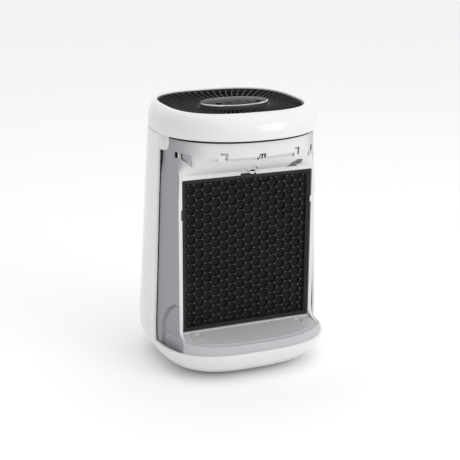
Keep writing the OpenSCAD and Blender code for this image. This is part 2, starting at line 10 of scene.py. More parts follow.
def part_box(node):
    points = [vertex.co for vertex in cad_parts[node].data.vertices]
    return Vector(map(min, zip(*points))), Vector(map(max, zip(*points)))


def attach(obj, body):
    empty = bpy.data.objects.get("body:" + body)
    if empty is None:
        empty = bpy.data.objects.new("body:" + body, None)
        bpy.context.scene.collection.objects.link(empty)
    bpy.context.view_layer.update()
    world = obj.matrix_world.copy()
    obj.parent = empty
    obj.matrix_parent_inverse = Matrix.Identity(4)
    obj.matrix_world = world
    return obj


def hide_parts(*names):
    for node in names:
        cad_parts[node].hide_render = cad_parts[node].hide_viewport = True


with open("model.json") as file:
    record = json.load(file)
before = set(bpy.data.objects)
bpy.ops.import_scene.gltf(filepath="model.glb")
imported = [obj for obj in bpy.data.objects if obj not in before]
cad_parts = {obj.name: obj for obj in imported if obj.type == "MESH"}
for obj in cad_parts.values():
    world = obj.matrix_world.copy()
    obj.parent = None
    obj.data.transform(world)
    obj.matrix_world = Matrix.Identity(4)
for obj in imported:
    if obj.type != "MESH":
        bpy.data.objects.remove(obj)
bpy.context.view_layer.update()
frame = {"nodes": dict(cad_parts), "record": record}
nodes = frame["nodes"]
MM = 0.001
rng = np.random.default_rng(7)


def span(node):
    """The node's box in millimetres: x0, x1, y0, y1, z0, z1."""
    lo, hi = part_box(node)
    return [v / MM for v in (lo.x, hi.x, lo.y, hi.y, lo.z, hi.z)]


SHELL = span("outer_shell")
BAND = span("top_band")
FILTER = span("filter_frame")
SHADED_FLANK_X = (140.2, 141.6)
BODY_W = SHELL[1] - SHELL[0]
BODY_D = 2 * SHELL[3]
FOOT_Z = SHELL[4]
BAND_Z = BAND[4]
LIP_Z = BAND[5]
NECK_W = BAND[1] - BAND[0] - 1.6
BOWL_R = 65.0
BOWL_Z = FOOT_Z + BOWL_R
FULL_Z = 100.0
RIM_Z = 57.7
EDGE_Y = -31.0
NECK_YC, NECK_F, NECK_B = -10.0, 142.2, 160.0
FILTER_Y = FILTER[2]
FILTER_X = FILTER[1]
FILTER_Z0 = FILTER[4]
FILTER_Z1 = FILTER_Z0 + 300.0
RIM_Y = FILTER_Y - 4
RIM_TOP = span("fascia")[4]
FASCIA_TOP = 463.4
SHELL_T = 5.4


# ---- Mesh helpers

def linked(name, data):
    ob = bpy.data.objects.new(name, data)
    bpy.context.scene.collection.objects.link(ob)
    return ob


def add(name, verts, faces):
    me = bpy.data.meshes.new(name)
    corners = [tuple(float(c) * MM for c in p) for p in verts]
    me.from_pydata(corners, [], [tuple(int(i) for i in f) for f in faces])
    me.validate()
    return linked(name, me)


def sheet(name, rows, closed=False, cap_low=False, cap_high=False, loop=False):
    """Skin through rows of points, lowest first, running counter-clockwise from above."""
    rows = [np.asarray(r, float) for r in rows]
    n, m = len(rows[0]), len(rows)
    faces = []
    for i in range(m if loop else m - 1):
        for j in range(n if closed else n - 1):
            k, i2 = (j + 1) % n, (i + 1) % m
            faces.append((i * n + j, i * n + k, i2 * n + k, i2 * n + j))
    if cap_low:
        faces.append(tuple(range(n))[::-1])
    if cap_high:
        faces.append(tuple((m - 1) * n + j for j in range(n)))
    return add(name, np.concatenate(rows), faces)


def solid(name, rows):
    """A skin through closed rows, with both ends closed."""
    return sheet(name, rows, closed=True, cap_low=True, cap_high=True)


def around(count):
    """Angles spaced evenly round one full turn."""
    return np.linspace(0, 2 * math.pi, count, endpoint=False)


def circle(cx, cy, r, z, t):
    return np.column_stack([cx + r * np.cos(t), cy + r * np.sin(t), np.full(len(t), z)])


def bake(ob):
    bpy.context.view_layer.update()
    dg = bpy.context.evaluated_depsgraph_get()
    me = bpy.data.meshes.new_from_object(ob.evaluated_get(dg), depsgraph=dg)
    old = ob.data
    ob.modifiers.clear()
    ob.data = me
    bpy.data.meshes.remove(old)
    me.name = ob.name
    return ob


def thicken(ob, t):
    m = ob.modifiers.new("t", "SOLIDIFY")
    m.thickness, m.offset, m.use_even_offset = t * MM, -1, True
    return bake(ob)


def soften(ob, width, angle=38, segments=2):
    m = ob.modifiers.new("b", "BEVEL")
    m.width, m.segments, m.limit_method = width * MM, segments, "ANGLE"
    m.angle_limit, m.use_clamp_overlap = math.radians(angle), True
    return bake(ob)


def cut(ob, *cutters, keep=False):
    for c in cutters:
        m = ob.modifiers.new("c", "BOOLEAN")
        m.operation, m.object, m.solver = "DIFFERENCE", c, "EXACT"
    bake(ob)
    if not keep:
        for c in cutters:
            drop(c)
    return ob


def drop(ob):
    me = ob.data
    bpy.data.objects.remove(ob)
    if me and not me.users:
        bpy.data.meshes.remove(me)


def join(name, *obs):
    bm = bmesh.new()
    mats = []
    for o in obs:
        start = len(bm.faces)
        bm.from_mesh(o.data)
        bm.faces.ensure_lookup_table()
        for m in o.data.materials:
            if m not in mats:
                mats.append(m)
        if o.data.materials:
            back = [mats.index(m) for m in o.data.materials]
            for f in bm.faces[start:]:
                f.material_index = back[min(f.material_index, len(back) - 1)]
    me = bpy.data.meshes.new(name)
    bm.to_mesh(me)
    bm.free()
    for m in mats:
        me.materials.append(m)
    for o in obs:
        drop(o)
    return linked(name, me)


def box(name, x0, x1, y0, y1, z0, z1, r=0.0, turn=0.0, tilt=0.0):
    """A box with rounded edges, turned about Z and tilted about X through its own centre."""
    v = [(x, y, z) for x in (x0, x1) for y in (y0, y1) for z in (z0, z1)]
    f = [(0, 1, 3, 2), (4, 6, 7, 5), (0, 4, 5, 1), (2, 3, 7, 6), (0, 2, 6, 4), (1, 5, 7, 3)]
    ob = add(name, v, f)
    if r:
        soften(ob, r, 30, 3)
    if turn or tilt:
        c = Vector(((x0 + x1) / 2, (y0 + y1) / 2, (z0 + z1) / 2)) * MM
        rot = Matrix.Rotation(math.radians(turn), 4, "Z") @ Matrix.Rotation(math.radians(tilt), 4, "X")
        ob.data.transform(Matrix.Translation(c) @ rot @ Matrix.Translation(-c))
    return ob


def side_box(name, side, near, far, *rest):
    """A box on the left (-1) or right (1); near and far are distances from the middle."""
    return box(name, *sorted((side * near, side * far)), *rest)


def tube(name, a, b, r0, r1=None, sides=48):
    """A rod or cone from a to b with closed ends."""
    a, b = Vector(a), Vector(b)
    r1 = r0 if r1 is None else r1
    q = (b - a).to_track_quat("Z", "Y")
    rows = []
    for end, r in ((a, r0), (b, r1)):
        rows.append([end + q @ Vector((r * math.cos(t), r * math.sin(t), 0)) for t in around(sides)])
    return solid(name, rows)


def hull(name, points):
    bm = bmesh.new()
    for p in points:
        bm.verts.new([c * MM for c in p])
    bmesh.ops.convex_hull(bm, input=bm.verts)
    bmesh.ops.recalc_face_normals(bm, faces=bm.faces)
    me = bpy.data.meshes.new(name)
    bm.to_mesh(me)
    bm.free()
    return linked(name, me)


def prism(name, outline, y0, y1):
    """A convex outline of X and Z, run from y0 to y1."""
    return hull(name, [(x, y, z) for y in (y0, y1) for x, z in outline])


def turn_out(ob, weld=0.0, fill=False):
    """Point every face outwards, after welding close points and filling open loops if asked."""
    bm = bmesh.new()
    bm.from_mesh(ob.data)
    if weld:
        bmesh.ops.remove_doubles(bm, verts=bm.verts, dist=weld * MM)
    if fill:
        bmesh.ops.holes_fill(bm, edges=[e for e in bm.edges if e.is_boundary])
    bmesh.ops.recalc_face_normals(bm, faces=bm.faces)
    bm.to_mesh(ob.data)
    bm.free()
    return ob


def renamed(ob, name):
    ob.name = name
    ob.data.name = name
    return ob


def piece(ob, mat, body="body", stands_for=(), angle=34):
    me = ob.data
    if mat is not None:
        me.materials.clear()
        me.materials.append(mat)
    for p in me.polygons:
        p.use_smooth = True
    me.set_sharp_from_angle(angle=math.radians(angle))
    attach(ob, body)
    if stands_for:
        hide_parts(*stands_for)
    return ob


# ---- Outlines

def clip01(t):
    return np.clip(t, 0.0, 1.0)


def lerp(a, b, t):
    return a + (b - a) * t


def smooth(t):
    t = clip01(t)
    return t * t * (3 - 2 * t)


def plan(t, a, f, b, n, yc):
    c, s = np.cos(t), np.sin(t)
    x = a * np.sign(c) * np.abs(c) ** (2 / n)
    y = yc + np.where(s < 0, f, b) * np.sign(s) * np.abs(s) ** (2 / n)
    return np.stack([x, y], -1)


def smaller(shape, inset):
    """The outline's numbers with its half-width and both depths reduced."""
    return tuple(v - inset for v in shape[:3]) + tuple(shape[3:])


def even(t0, t1, count, *shape):
    """Parameters that space points evenly along an outline."""
    t = np.linspace(t0, t1, 6001)
    p = plan(t, *shape)
    d = np.r_[0, np.cumsum(np.hypot(*np.diff(p, axis=0).T))]
    return np.interp(np.linspace(0, d[-1], count), d, t)


def lift(p, z):
    p = np.asarray(p, float)
    return np.column_stack([p[:, 0], p[:, 1], np.broadcast_to(z, len(p))])


def bowl_in(z, r=BOWL_R):
    return 0.0 if z >= BOWL_Z else r * (1 - math.sqrt(max(0.0, 1 - ((BOWL_Z - z) / r) ** 2)))


def rise(z):
    return float(clip01((z - FULL_Z) / (BAND_Z - FULL_Z)))


def body_shape(z, inset=0.0):
    k = float(clip01((z - BOWL_Z) / (BAND_Z - BOWL_Z)))
    d = inset + bowl_in(z)
    return (
        lerp(BODY_W, NECK_W, rise(z)) / 2 - d,
        lerp(BODY_D / 2, NECK_F, k) + 1.3 * float(clip01((FULL_Z - z) / 30)) - d,
        lerp(BODY_D / 2, NECK_B, k) - d,
        lerp(2.9, 2.35, k),
        lerp(0.0, NECK_YC, k),
    )


# ---- Materials

def material(name, rgb, rough, coat=0.0, metal=0.0, grain=0.0, grain_size=0.6, vary=0.03, tint=0.02,
             spots=0.0, wear=0.0, sheen=0.0, specular=0.5, side=None):
    """Moulded plastic, metal or rubber: cloudy roughness, a fine grain, slightly rubbed edges and, where a side
    colour is given, painted shade on faces turned sideways.
    """
    m = bpy.data.materials.new(name)
    m.use_nodes = True
    nt = m.node_tree
    n, ln = nt.nodes, nt.links
    bsdf = n["Principled BSDF"]
    for socket, value in (("Metallic", metal), ("Coat Weight", coat), ("Coat Roughness", 0.06),
                          ("Specular IOR Level", specular), ("Sheen Weight", sheen)):
        bsdf.inputs[socket].default_value = value
    tc = n.new("ShaderNodeTexCoord")

    def noise(scale, detail=3.0, rough_in=0.5):
        t = n.new("ShaderNodeTexNoise")
        for socket, value in (("Scale", scale), ("Detail", detail), ("Roughness", rough_in)):
            t.inputs[socket].default_value = value
        ln.new(tc.outputs["Object"], t.inputs["Vector"])
        return t

    def map_range(source, from_min, from_max, to_min=0.0, to_max=1.0):
        """A node that carries one range of numbers over to another."""
        t = n.new("ShaderNodeMapRange")
        t.inputs["From Min"].default_value, t.inputs["From Max"].default_value = from_min, from_max
        t.inputs["To Min"].default_value, t.inputs["To Max"].default_value = to_min, to_max
        ln.new(source, t.inputs["Value"])
        return t

    def math_node(operation, *sources):
        t = n.new("ShaderNodeMath")
        t.operation = operation
        for i, source in enumerate(sources):
            ln.new(source, t.inputs[i])
        return t.outputs["Value"]

    def mixed(factor, first, second):
        """The colour first turning into the fixed colour second as the factor goes from 0 to 1."""
        t = n.new("ShaderNodeMix")
        t.data_type = "RGBA"
        ln.new(factor, t.inputs[0])
        ln.new(first, t.inputs[6])
        t.inputs[7].default_value = (*second, 1)
        return t.outputs[2]

    def x_of(vector):
        """The size of a vector's X, whichever way it points."""
        t = n.new("ShaderNodeSeparateXYZ")
        ln.new(vector, t.inputs["Vector"])
        return math_node("ABSOLUTE", t.outputs["X"])

    cloud = noise(9.0, 4.0)
    rough_map = map_range(cloud.outputs["Fac"], 0.3, 0.7, max(0.02, rough - vary), min(1.0, rough + vary))
    ln.new(rough_map.outputs["Result"], bsdf.inputs["Roughness"])

    ramp = n.new("ShaderNodeValToRGB")
    lo, hi = [c * (1 - tint) for c in rgb], [min(1.0, c * (1 + tint)) for c in rgb]
    ramp.color_ramp.elements[0].color, ramp.color_ramp.elements[0].position = (*lo, 1), 0.3
    ramp.color_ramp.elements[1].color, ramp.color_ramp.elements[1].position = (*hi, 1), 0.7
    ln.new(noise(23.0, 5.0).outputs["Fac"], ramp.inputs["Fac"])
    colour = ramp.outputs["Color"]
    if side:
        # Painted shade: surfaces that face sideways, or that lie outside the filter rim, take the darker side
        # colour, which stands in for the shade on the cheeks.
        geo = n.new("ShaderNodeNewGeometry")
        sideways_shade = map_range(x_of(geo.outputs["Normal"]), 0.5, 0.97)
        sideways_shade.interpolation_type = "SMOOTHSTEP"
        flank_shade = map_range(x_of(tc.outputs["Object"]), *(x * MM for x in SHADED_FLANK_X))
        both = math_node("MAXIMUM", sideways_shade.outputs["Result"], flank_shade.outputs["Result"])
        colour = mixed(both, colour, side)
    if wear:
        geo = n.new("ShaderNodeNewGeometry")
        edge = map_range(geo.outputs["Pointiness"], 0.52, 0.62, 0.0, wear)
        colour = mixed(edge.outputs["Result"], colour, [min(1.0, c * 1.5 + 0.06) for c in rgb])
    ln.new(colour, bsdf.inputs["Base Color"])
    if grain or spots:
        bump = n.new("ShaderNodeBump")
        bump.inputs["Strength"].default_value = max(grain, spots)
        bump.inputs["Distance"].default_value = 0.0002 if grain >= spots else 0.0012
        if spots:
            v = n.new("ShaderNodeTexVoronoi")
            v.inputs["Scale"].default_value = 1 / (grain_size * MM)
            ln.new(tc.outputs["Object"], v.inputs["Vector"])
            ln.new(v.outputs["Distance"], bump.inputs["Height"])
        else:
            ln.new(noise(1 / (grain_size * MM), 2.0).outputs["Fac"], bump.inputs["Height"])
        ln.new(bump.outputs["Normal"], bsdf.inputs["Normal"])
    return m


WHITE = material("white gloss", (0.72, 0.725, 0.73), 0.2, coat=0.3, grain=0.03, grain_size=2.4, tint=0.006)
# Its side colour is painted shade: faces turned sideways and the flanks beyond the filter rim come out darker.
SATIN_WITH_SIDE_SHADE = material("white satin with painted side shade", (0.68, 0.685, 0.69), 0.38, grain=0.12, grain_size=0.7, tint=0.01, wear=0.06,
                 side=(0.31, 0.315, 0.335))
DECK = material("grey deck", (0.47, 0.475, 0.49), 0.48, grain=0.16, grain_size=0.7, tint=0.012, wear=0.12)
SLATS = material("black slats", (0.012, 0.012, 0.013), 0.4, grain=0.08, grain_size=0.8, tint=0.05,
                 wear=0.2, specular=0.22)
LENS = material("black lens", (0.005, 0.005, 0.0055), 0.3, vary=0.04, tint=0.03, grain=0.02, specular=0.06)
SILVER = material("silver trim", (0.62, 0.63, 0.65), 0.28, metal=0.9, grain=0.05, grain_size=0.5)
ICON = material("key print", (0.10, 0.105, 0.11), 0.5, grain=0.04, grain_size=0.5, tint=0.03)
BLACK = material("dark plastic", (0.02, 0.02, 0.021), 0.5, grain=0.14, grain_size=0.7, tint=0.05, wear=0.2)
# Near-black fill that paints shade into openings, windows and seams.
SHADE_FILL = material("painted shade, near black", (0.004, 0.004, 0.004), 0.8, grain=0.1, grain_size=0.7, tint=0.1)
FRAME_M = material("filter frame", (0.016, 0.0165, 0.019), 0.48, grain=0.2, grain_size=0.8, tint=0.05,
                   wear=0.3, specular=0.25)
COMB = material("honeycomb", (0.012, 0.0125, 0.014), 0.45, grain=0.2, grain_size=0.8, tint=0.1, wear=0.3,
                specular=0.22)
# Lighter grey for the knot studs: painted highlight.
STUD_HIGHLIGHT = material("honeycomb studs, painted highlight", (0.13, 0.133, 0.138), 0.3, grain=0.1, tint=0.1)
CARBON = material("carbon granules", (0.008, 0.008, 0.009), 0.5, spots=0.6, grain_size=1.6, vary=0.12,
                  tint=0.3, specular=0.15)
MEDIA = material("pleated media", (0.80, 0.80, 0.78), 0.9, grain=0.5, grain_size=0.35, tint=0.03, sheen=0.2)
RUBBER = material("rubber", (0.022, 0.022, 0.023), 0.75, grain=0.25, tint=0.06)
DUCT = material("duct", (0.05, 0.051, 0.054), 0.5, grain=0.12, grain_size=0.8, tint=0.03, wear=0.2)
SCROLL = material("scroll", (0.55, 0.555, 0.56), 0.45, grain=0.12, grain_size=0.8, tint=0.015, wear=0.12)
WHEEL = material("impeller", (0.08, 0.085, 0.092), 0.42, grain=0.1, tint=0.04, wear=0.3)
STEEL = material("steel", (0.55, 0.55, 0.56), 0.3, metal=1.0, grain=0.12, grain_size=0.3, vary=0.08,
                 tint=0.05)
BRASS = material("brass", (0.72, 0.50, 0.20), 0.32, metal=1.0, grain=0.12, grain_size=0.3, vary=0.08,
                 tint=0.06)
PAINT = material("motor paint", (0.10, 0.105, 0.115), 0.4, grain=0.25, grain_size=0.5, tint=0.04, wear=0.4)
ZINC = material("zinc plate", (0.50, 0.51, 0.53), 0.38, metal=0.85, grain=0.12, grain_size=0.5, vary=0.1,
                tint=0.06)
BOARD = material("circuit board", (0.02, 0.12, 0.05), 0.4, grain=0.3, grain_size=1.2, tint=0.15)
NET = material("sensor net", (0.2, 0.203, 0.208), 0.5, grain=0.1, tint=0.03)

SLOT_LOOK = {
    "white_gloss": WHITE, "white_satin": SATIN_WITH_SIDE_SHADE, "grey_deck": DECK, "black_grille": SLATS, "black_lens": LENS,
    "silver_trim": SILVER, "key_grey": ICON, "dark_plastic": BLACK, "filter_frame": FRAME_M, "carbon": CARBON,
    "media": MEDIA, "rubber": RUBBER, "duct_white": SCROLL, "impeller_grey": WHEEL, "steel": STEEL,
    "brass": BRASS, "motor_paint": PAINT, "zinc": ZINC, "board": BOARD,
}
for entry in frame["record"].get("materials", []):
    for name in entry.get("nodes", []):
        if name in nodes:
            nodes[name].data.materials.clear()
            nodes[name].data.materials.append(SLOT_LOOK.get(entry["slot"], BLACK))
nodes["outlet_duct"].data.materials.clear()
nodes["outlet_duct"].data.materials.append(DUCT)
for name, ob in nodes.items():
    for p in ob.data.polygons:
        p.use_smooth = True
    ob.data.set_sharp_from_angle(angle=math.radians(32))


# ---- Outer shell

def shell_edge(z):
    _, f, _, n, yc = body_shape(z)
    return -math.asin(((-EDGE_Y + yc) / f) ** (n / 2))


def make_shell():
    back_n, front_n = 190, 96
    shape = body_shape(RIM_Z)
    t0 = shell_edge(RIM_Z)
    tb = even(t0, math.pi - t0, back_n + 1, *shape)
    tf = even(math.pi - t0, 2 * math.pi + t0, front_n + 1, *shape)
    t_ring = np.r_[tb, tf[1:-1]]
    verts, faces = [], []
    top = math.acos((BOWL_Z - RIM_Z) / BOWL_R)
    ring_z = [BOWL_Z - BOWL_R * math.cos(top * k / 18) for k in range(19)]
    n = len(t_ring)
    for z in ring_z:
        verts.extend(lift(plan(t_ring, *body_shape(z)), z))
    for i in range(len(ring_z) - 1):
        for j in range(n):
            k = (j + 1) % n
            faces.append((i * n + j, i * n + k, (i + 1) * n + k, (i + 1) * n + j))
    faces.append(tuple(range(n))[::-1])
    below = [(len(ring_z) - 1) * n + j for j in range(back_n + 1)]
    for z in [60, 63, 66.5, BOWL_Z, 76, 84, 92, FULL_Z, *np.linspace(112, BAND_Z, 31)]:
        s = body_shape(z)
        t0 = shell_edge(z)
        base = len(verts)
        verts.extend(lift(plan(even(t0, math.pi - t0, back_n + 1, *s), *s), z))
        row = list(range(base, base + back_n + 1))
        for j in range(back_n):
            faces.append((below[j], below[j + 1], row[j + 1], row[j]))
        below = row
    ob = thicken(add("shell", verts, faces), SHELL_T)
    soften(ob, 0.9, 42, 3)
    grip = box("c", -56, 56, 100, 200, 400, 436, 8)
    gland = tube("c", (0, 140, 86), (0, 180, 86), 9)
    slots = []
    for z0, z1, x in ((333, 357, 158.6), (168, 192, 164.6)):
        for side in (-1, 1):
            slots.append(side_box("c", side, x - 4, x + 1.1, EDGE_Y - 4, EDGE_Y + 6, z0, z1, 1.0))
    cut(ob, grip, gland, *slots)
    ears = []
    across = [(-158.7, -29.0), (-158.4, -31.2), (-157.0, -32.4), (-155.0, -33.4), (-153.6, -35.0)]
    across += [(-float(fascia_x(y)) - 1.3, y) for y in np.linspace(-37.0, -52.0, 12)]
    across += [(-float(fascia_x(-52.4)) - 0.2, -52.4)]
    for side in (-1, 1):
        rows = []
        for k in np.linspace(0, 1, 14):
            row = []
            for x, y in across:
                q = float(clip01((-36 - y) / 16.4))
                low = 438.6 + 13 * (1 - math.sqrt(max(0.0, 1 - q ** 2.4)))
                row.append((side * -x, y, lerp(low, BAND_Z + 2, k)))
            rows.append(row if side < 0 else row[::-1])
        ears.append(thicken(sheet("ear", rows), 1.6))
    piece(join("outer_shell_skin", ob, *ears), WHITE, stands_for=("outer_shell",))


def make_band():
    count = 280
    foot = (NECK_W / 2 - 1.0, NECK_F, NECK_B, 2.35, NECK_YC)
    rim = (134.2, 130.7, 130.7, 2.8, 11.0)
    slack = 0.2  # how much rounder the front corners are than the back ones at the foot
    t = even(0, 2 * math.pi, count + 1, *foot)[:-1]

    def ring(k, z, inset=0.0):
        s = [lerp(p, q, k) for p, q in zip(foot, rim)]
        a, f, b, n, yc = smaller(s, inset)
        p = plan(t, a, f, b, n, yc)
        q = plan(t, a, f, b, n - slack * (1 - k), yc)
        return lift(np.where(np.sin(t)[:, None] < 0, q, p), z)

    rows = [ring(0, BAND_Z + up, inset) for up, inset in ((0.9, 2.6), (0.25, 0.9), (0.9, 0.15), (2.2, 0.0))]
    for k in range(0, 21):
        a = math.pi / 2 * k / 20
        rows.append(ring(1 - math.cos(a), lerp(BAND_Z + 8, LIP_Z, math.sin(a))))
    rows += [ring(1, LIP_Z - down, inset) for down, inset in ((0.25, 0.9), (1.0, 1.35), (9, 1.5), (11, 0.4))]
    for k in range(18, -1, -2):
        a = math.pi / 2 * k / 20
        rows.append(ring(1 - math.cos(a), lerp(BAND_Z + 5, LIP_Z - 4, math.sin(a)), 3.0))
    ob = sheet("top_band_skin", rows, closed=True, loop=True)
    piece(ob, WHITE, stands_for=("top_band",), angle=50)


# ---- Front housing and fascia

NECK_SHAPE = (NECK_W / 2 - 8.6, NECK_F - 7.5, NECK_B - 20, 2.22, NECK_YC)


def fascia_y(x):
    """Front surface of the fascia above its crease."""
    a, f, _, n, yc = NECK_SHAPE
    return yc - f * (1 - clip01(np.abs(x) / a) ** n) ** (1 / n)


def fascia_x(y):
    a, f, _, n, yc = NECK_SHAPE
    return a * (1 - clip01(np.abs(y - yc) / f) ** n) ** (1 / n)


FALL_MID = ([RIM_TOP, 398, 404, 412, 420, 427, 430.5, 433.5, 436, 439, 442],
            [0.0, 0.12, 0.35, 0.55, 0.69, 0.785, 0.835, 0.925, 0.975, 0.995, 1.0])
FALL_END = ([RIM_TOP, 398, 404, 412, 420, 428, 434, 440, 446],
            [0.0, 0.10, 0.32, 0.53, 0.70, 0.84, 0.93, 0.985, 1.0])


def fall(z, x):
    """How far forward the fascia has come at height z: 0 at the filter rim and 1 at the crease."""
    k = smooth((np.abs(x) - 78) / 40)
    return lerp(np.interp(z, *FALL_MID), np.interp(z, *FALL_END), k)


def front_surface(x, z):
    return lerp(RIM_Y, fascia_y(x), fall(z, x))


HOOK_Z0, HOOK_Z1, HOOK_Y = 429.0, 440.5, -74.8
# Each T-shaped pocket: its bar's two sides, its stem's two sides, its foot and its top.
T_POCKETS = ((-77, -63.4, -69.0, -63.4, 430.5, 446), (71.5, 84, 78.5, 84, 429.5, 445))
SWITCH_WINDOW = ((-4.3, 442.2), (7.8, 442.2), (8.6, 431.5), (-5.4, 428.8), (-6.6, 432.0))
SENSOR_WINDOW = ((76, 399.4), (78.0, 410.0), (89, 416.0), (104.5, 413.5), (105.5, 400.4))
BOSS_Z, BOSS_R = 402.5, 8.1
BOSS_MARK = ((-6.8, 399.2), (-4.4, 401.8), (-1.0, 403.0), (3.6, 402.4), (7.0, 398.6), (3, 399.4), (-3, 399.4))
# The arch-shaped recess at the foot of each cheek: share of the cheek's width, and height.
ARCH = ([0.10, 0.13, 0.17, 0.27, 0.46, 0.73, 1.01], [40.0, 73.4, 95.9, 114.9, 132.3, 143.1, 145.4])


def housing_half(z, cheek_n, xs):
    """Left half of the front skin at height z, from the groove to the middle."""
    gx = lerp(BODY_W, NECK_W, rise(z)) / 2 - 8
    u = clip01((98 - z) / 17)
    flare = 1 - math.sqrt(max(0.0, 1 - u * u))
    rx = lerp(140, 138, float(clip01((z - 350) / 40))) + 4 * flare
    ry = RIM_Y - 30 * flare
    s = np.linspace(0, 1, cheek_n)
    flat = np.column_stack([-lerp(gx, rx, s), lerp(EDGE_Y + 1, ry, s)])
    k = float(smooth((z - 385) / 45))
    yy = lerp(EDGE_Y + 1, float(fascia_y(138.0)), s)
    round_ = np.column_stack([-fascia_x(yy), yy])
    cheek = lerp(flat, round_, k)
    if z < 150:
        top = np.interp(s, *ARCH)
        left = np.interp(z, ARCH[1], ARCH[0])
        inside = np.minimum((top - z) / 3.2, (s - left) * 60 / 3.2)
        deep = (4.8 * smooth(inside) + 2.6 * np.exp(-((inside - 0.9) / 0.55) ** 2)) * (1 - s ** 5)
        cheek = cheek + np.outer(deep, (0.96, 0.26))
    sloped = z > RIM_TOP
    strip = [
        (-rx + 5.2, float(front_surface(rx - 5.2, z)) if sloped else cheek[-1][1]),
        (-rx + 5.8, float(front_surface(rx - 5.8, z)) if sloped else RIM_Y),
    ]
    front = [(x, float(front_surface(x, z)) if sloped else RIM_Y) for x in xs]
    return np.vstack([cheek, strip, front])


def make_front():
    t = even(math.pi, 1.5 * math.pi, 4000, *NECK_SHAPE)
    px = plan(t, *NECK_SHAPE)[:, 0]
    keep = px[px > -131.5]
    xs = keep[np.linspace(0, len(keep) - 1, 62).astype(int)]
    xs[-1] = 0.0
    zs = [50.0, 52, 54, *np.arange(56, 80, 2.0)]
    zs += [98 - 17 * math.sin(p) for p in np.radians(np.arange(85, -1, -8))]
    zs += [*np.arange(101, 150, 1.8), *np.arange(155, 380, 15), 384, 388, 391, 393.5, 395.2, RIM_TOP]
    zs += [*np.arange(RIM_TOP + 1, 446, 1.25), *np.arange(448, FASCIA_TOP, 3), FASCIA_TOP]
    zs = sorted(set(round(float(z), 3) for z in zs))
    rows = []
    for z in zs:
        left = housing_half(z, 46, xs)
        right = left[:-1][::-1] * (-1, 1)
        rows.append(lift(np.vstack([left, right]), z))
    inward = rows[-1].copy()
    c = np.array([0, NECK_YC])
    d = c - inward[:, :2]
    inward[:, :2] += d / np.linalg.norm(d, axis=1)[:, None] * 5
    rows.append(inward - (0, 0, 0.2))
    ob = sheet("front", rows)
    thicken(ob, 2.2)

    opening = box("c", -FILTER_X - 1, FILTER_X + 1, RIM_Y - 8, RIM_Y + 9, FILTER_Z0 - 1, FILTER_Z1 + 0.9, 2.0)
    cutters, floors = [opening], []
    # A hook slot in each corner, with a ramp that leads forward and down from it.
    near_y, far_y = -77.6, -99.5
    near_x, far_x = -fascia_x(near_y) + 5.5, -fascia_x(far_y) + 0.4
    far_z0, far_z1 = 416.5, 438.7
    wedge = [(near_x, near_y, z) for z in (HOOK_Z1, HOOK_Z0)] + [(far_x, far_y, z) for z in (far_z1, far_z0)]
    wedge += [(x - 14, y - 5, z) for x, y, z in wedge]
    for side in (-1, 1):
        cutters.append(side_box("c", side, 128.0, 165.0, -78.0, -64.5, HOOK_Z0, HOOK_Z1, 1.0))
        cutters.append(hull("c", [(side * -x, y, z) for x, y, z in wedge]))
        low = [(near_x, near_y, HOOK_Z0 - 0.8), (far_x + 0.9, far_y - 0.6, far_z0 - 0.8)]
        high = [(near_x, near_y, HOOK_Z1 + 0.8), (far_x + 0.9, far_y - 0.6, far_z1 + 0.8)]
        if side > 0:
            low, high = [[(-x, y, z) for x, y, z in row[::-1]] for row in (low, high)]
        floors.append(thicken(sheet("floor", [low, high]), 1.2))
    ridge = box("c", -16, 16, RIM_Y - 6, RIM_Y + 9, FILTER_Z1 - 3, FILTER_Z1 + 4.4, 1.0)
    cutters.append(ridge)
    # Two pockets, the switch window, the sensor window and a round boss.
    for x0, x1, s0, s1, z0, z1 in T_POCKETS:
        mid = (x0 + x1) / 2
        slope = float(fascia_y(mid + 2) - fascia_y(mid - 2)) / 4
        turn = math.degrees(math.atan(slope))
        y = float(fascia_y(mid))
        block = box("c", x0 - 2, x1 + 2, y + 1.4, y + 8, z0 - 1, z1 + 2, turn=turn)
        cutters.append(box("c", x0, x1, y - 6, y + 4.6, z1 - 3.6, z1, 0.6, turn=turn))
        y = float(fascia_y((s0 + s1) / 2))
        cutters.append(box("c", s0, s1, y - 6, y + 4.6, z0, z1 - 1.2, 0.6, turn=turn))
        floors.append(cut(block, *cutters[-2:], keep=True))
    cutters.append(prism("c", SWITCH_WINDOW, -160, -120))
    cutters.append(prism("c", SENSOR_WINDOW, -135, -90))
    cut(ob, *cutters)
    cut(ob, tube("c", (0.0, -118, BOSS_Z), (0.0, -100.0, BOSS_Z), BOSS_R + 0.4))
    boss = tube("boss", (0.0, -101.6, BOSS_Z), (0.0, -92.0, BOSS_Z), BOSS_R)
    cut(boss, prism("c", BOSS_MARK, -106, -99.4))
    floors.append(boss)

    # Walls and back plate of the filter bay.
    bay = []
    x, y0, y1 = FILTER_X + 1.2, RIM_Y + 1.4, span("front_housing")[3] - 3
    z0, z1 = FILTER_Z0 - 1.2, FILTER_Z1 + 1.2
    bay.append(box("w", -x - 2.2, -x, y0, y1, z0 - 2, z1 + 2))
    bay.append(box("w", x, x + 2.2, y0, y1, z0 - 2, z1 + 2))
    bay.append(box("w", -x, x, y0, y1, z0 - 2, z0))
    left = box("w", -x, -15.8, y0, y1, z1, z1 + 2)
    right = box("w", 15.8, x, y0, y1, z1, z1 + 2)
    bay += [left, right, box("w", -15.8, 15.8, y0 + 9, y1, z1, z1 + 2)]
    plate = box("w", -x - 2.2, x + 2.2, y1, y1 + 3, z0 - 2, z1 + 2)
    cut(plate, tube("c", (0, y1 - 2, 237), (0, y1 + 6, 237), 102, sides=128))
    ledge = make_ledges()
    skin = join("front_housing_skin", ob, *bay, plate, *ledge, *floors)
    piece(skin, SATIN_WITH_SIDE_SHADE, stands_for=("front_housing", "fascia"), angle=30)

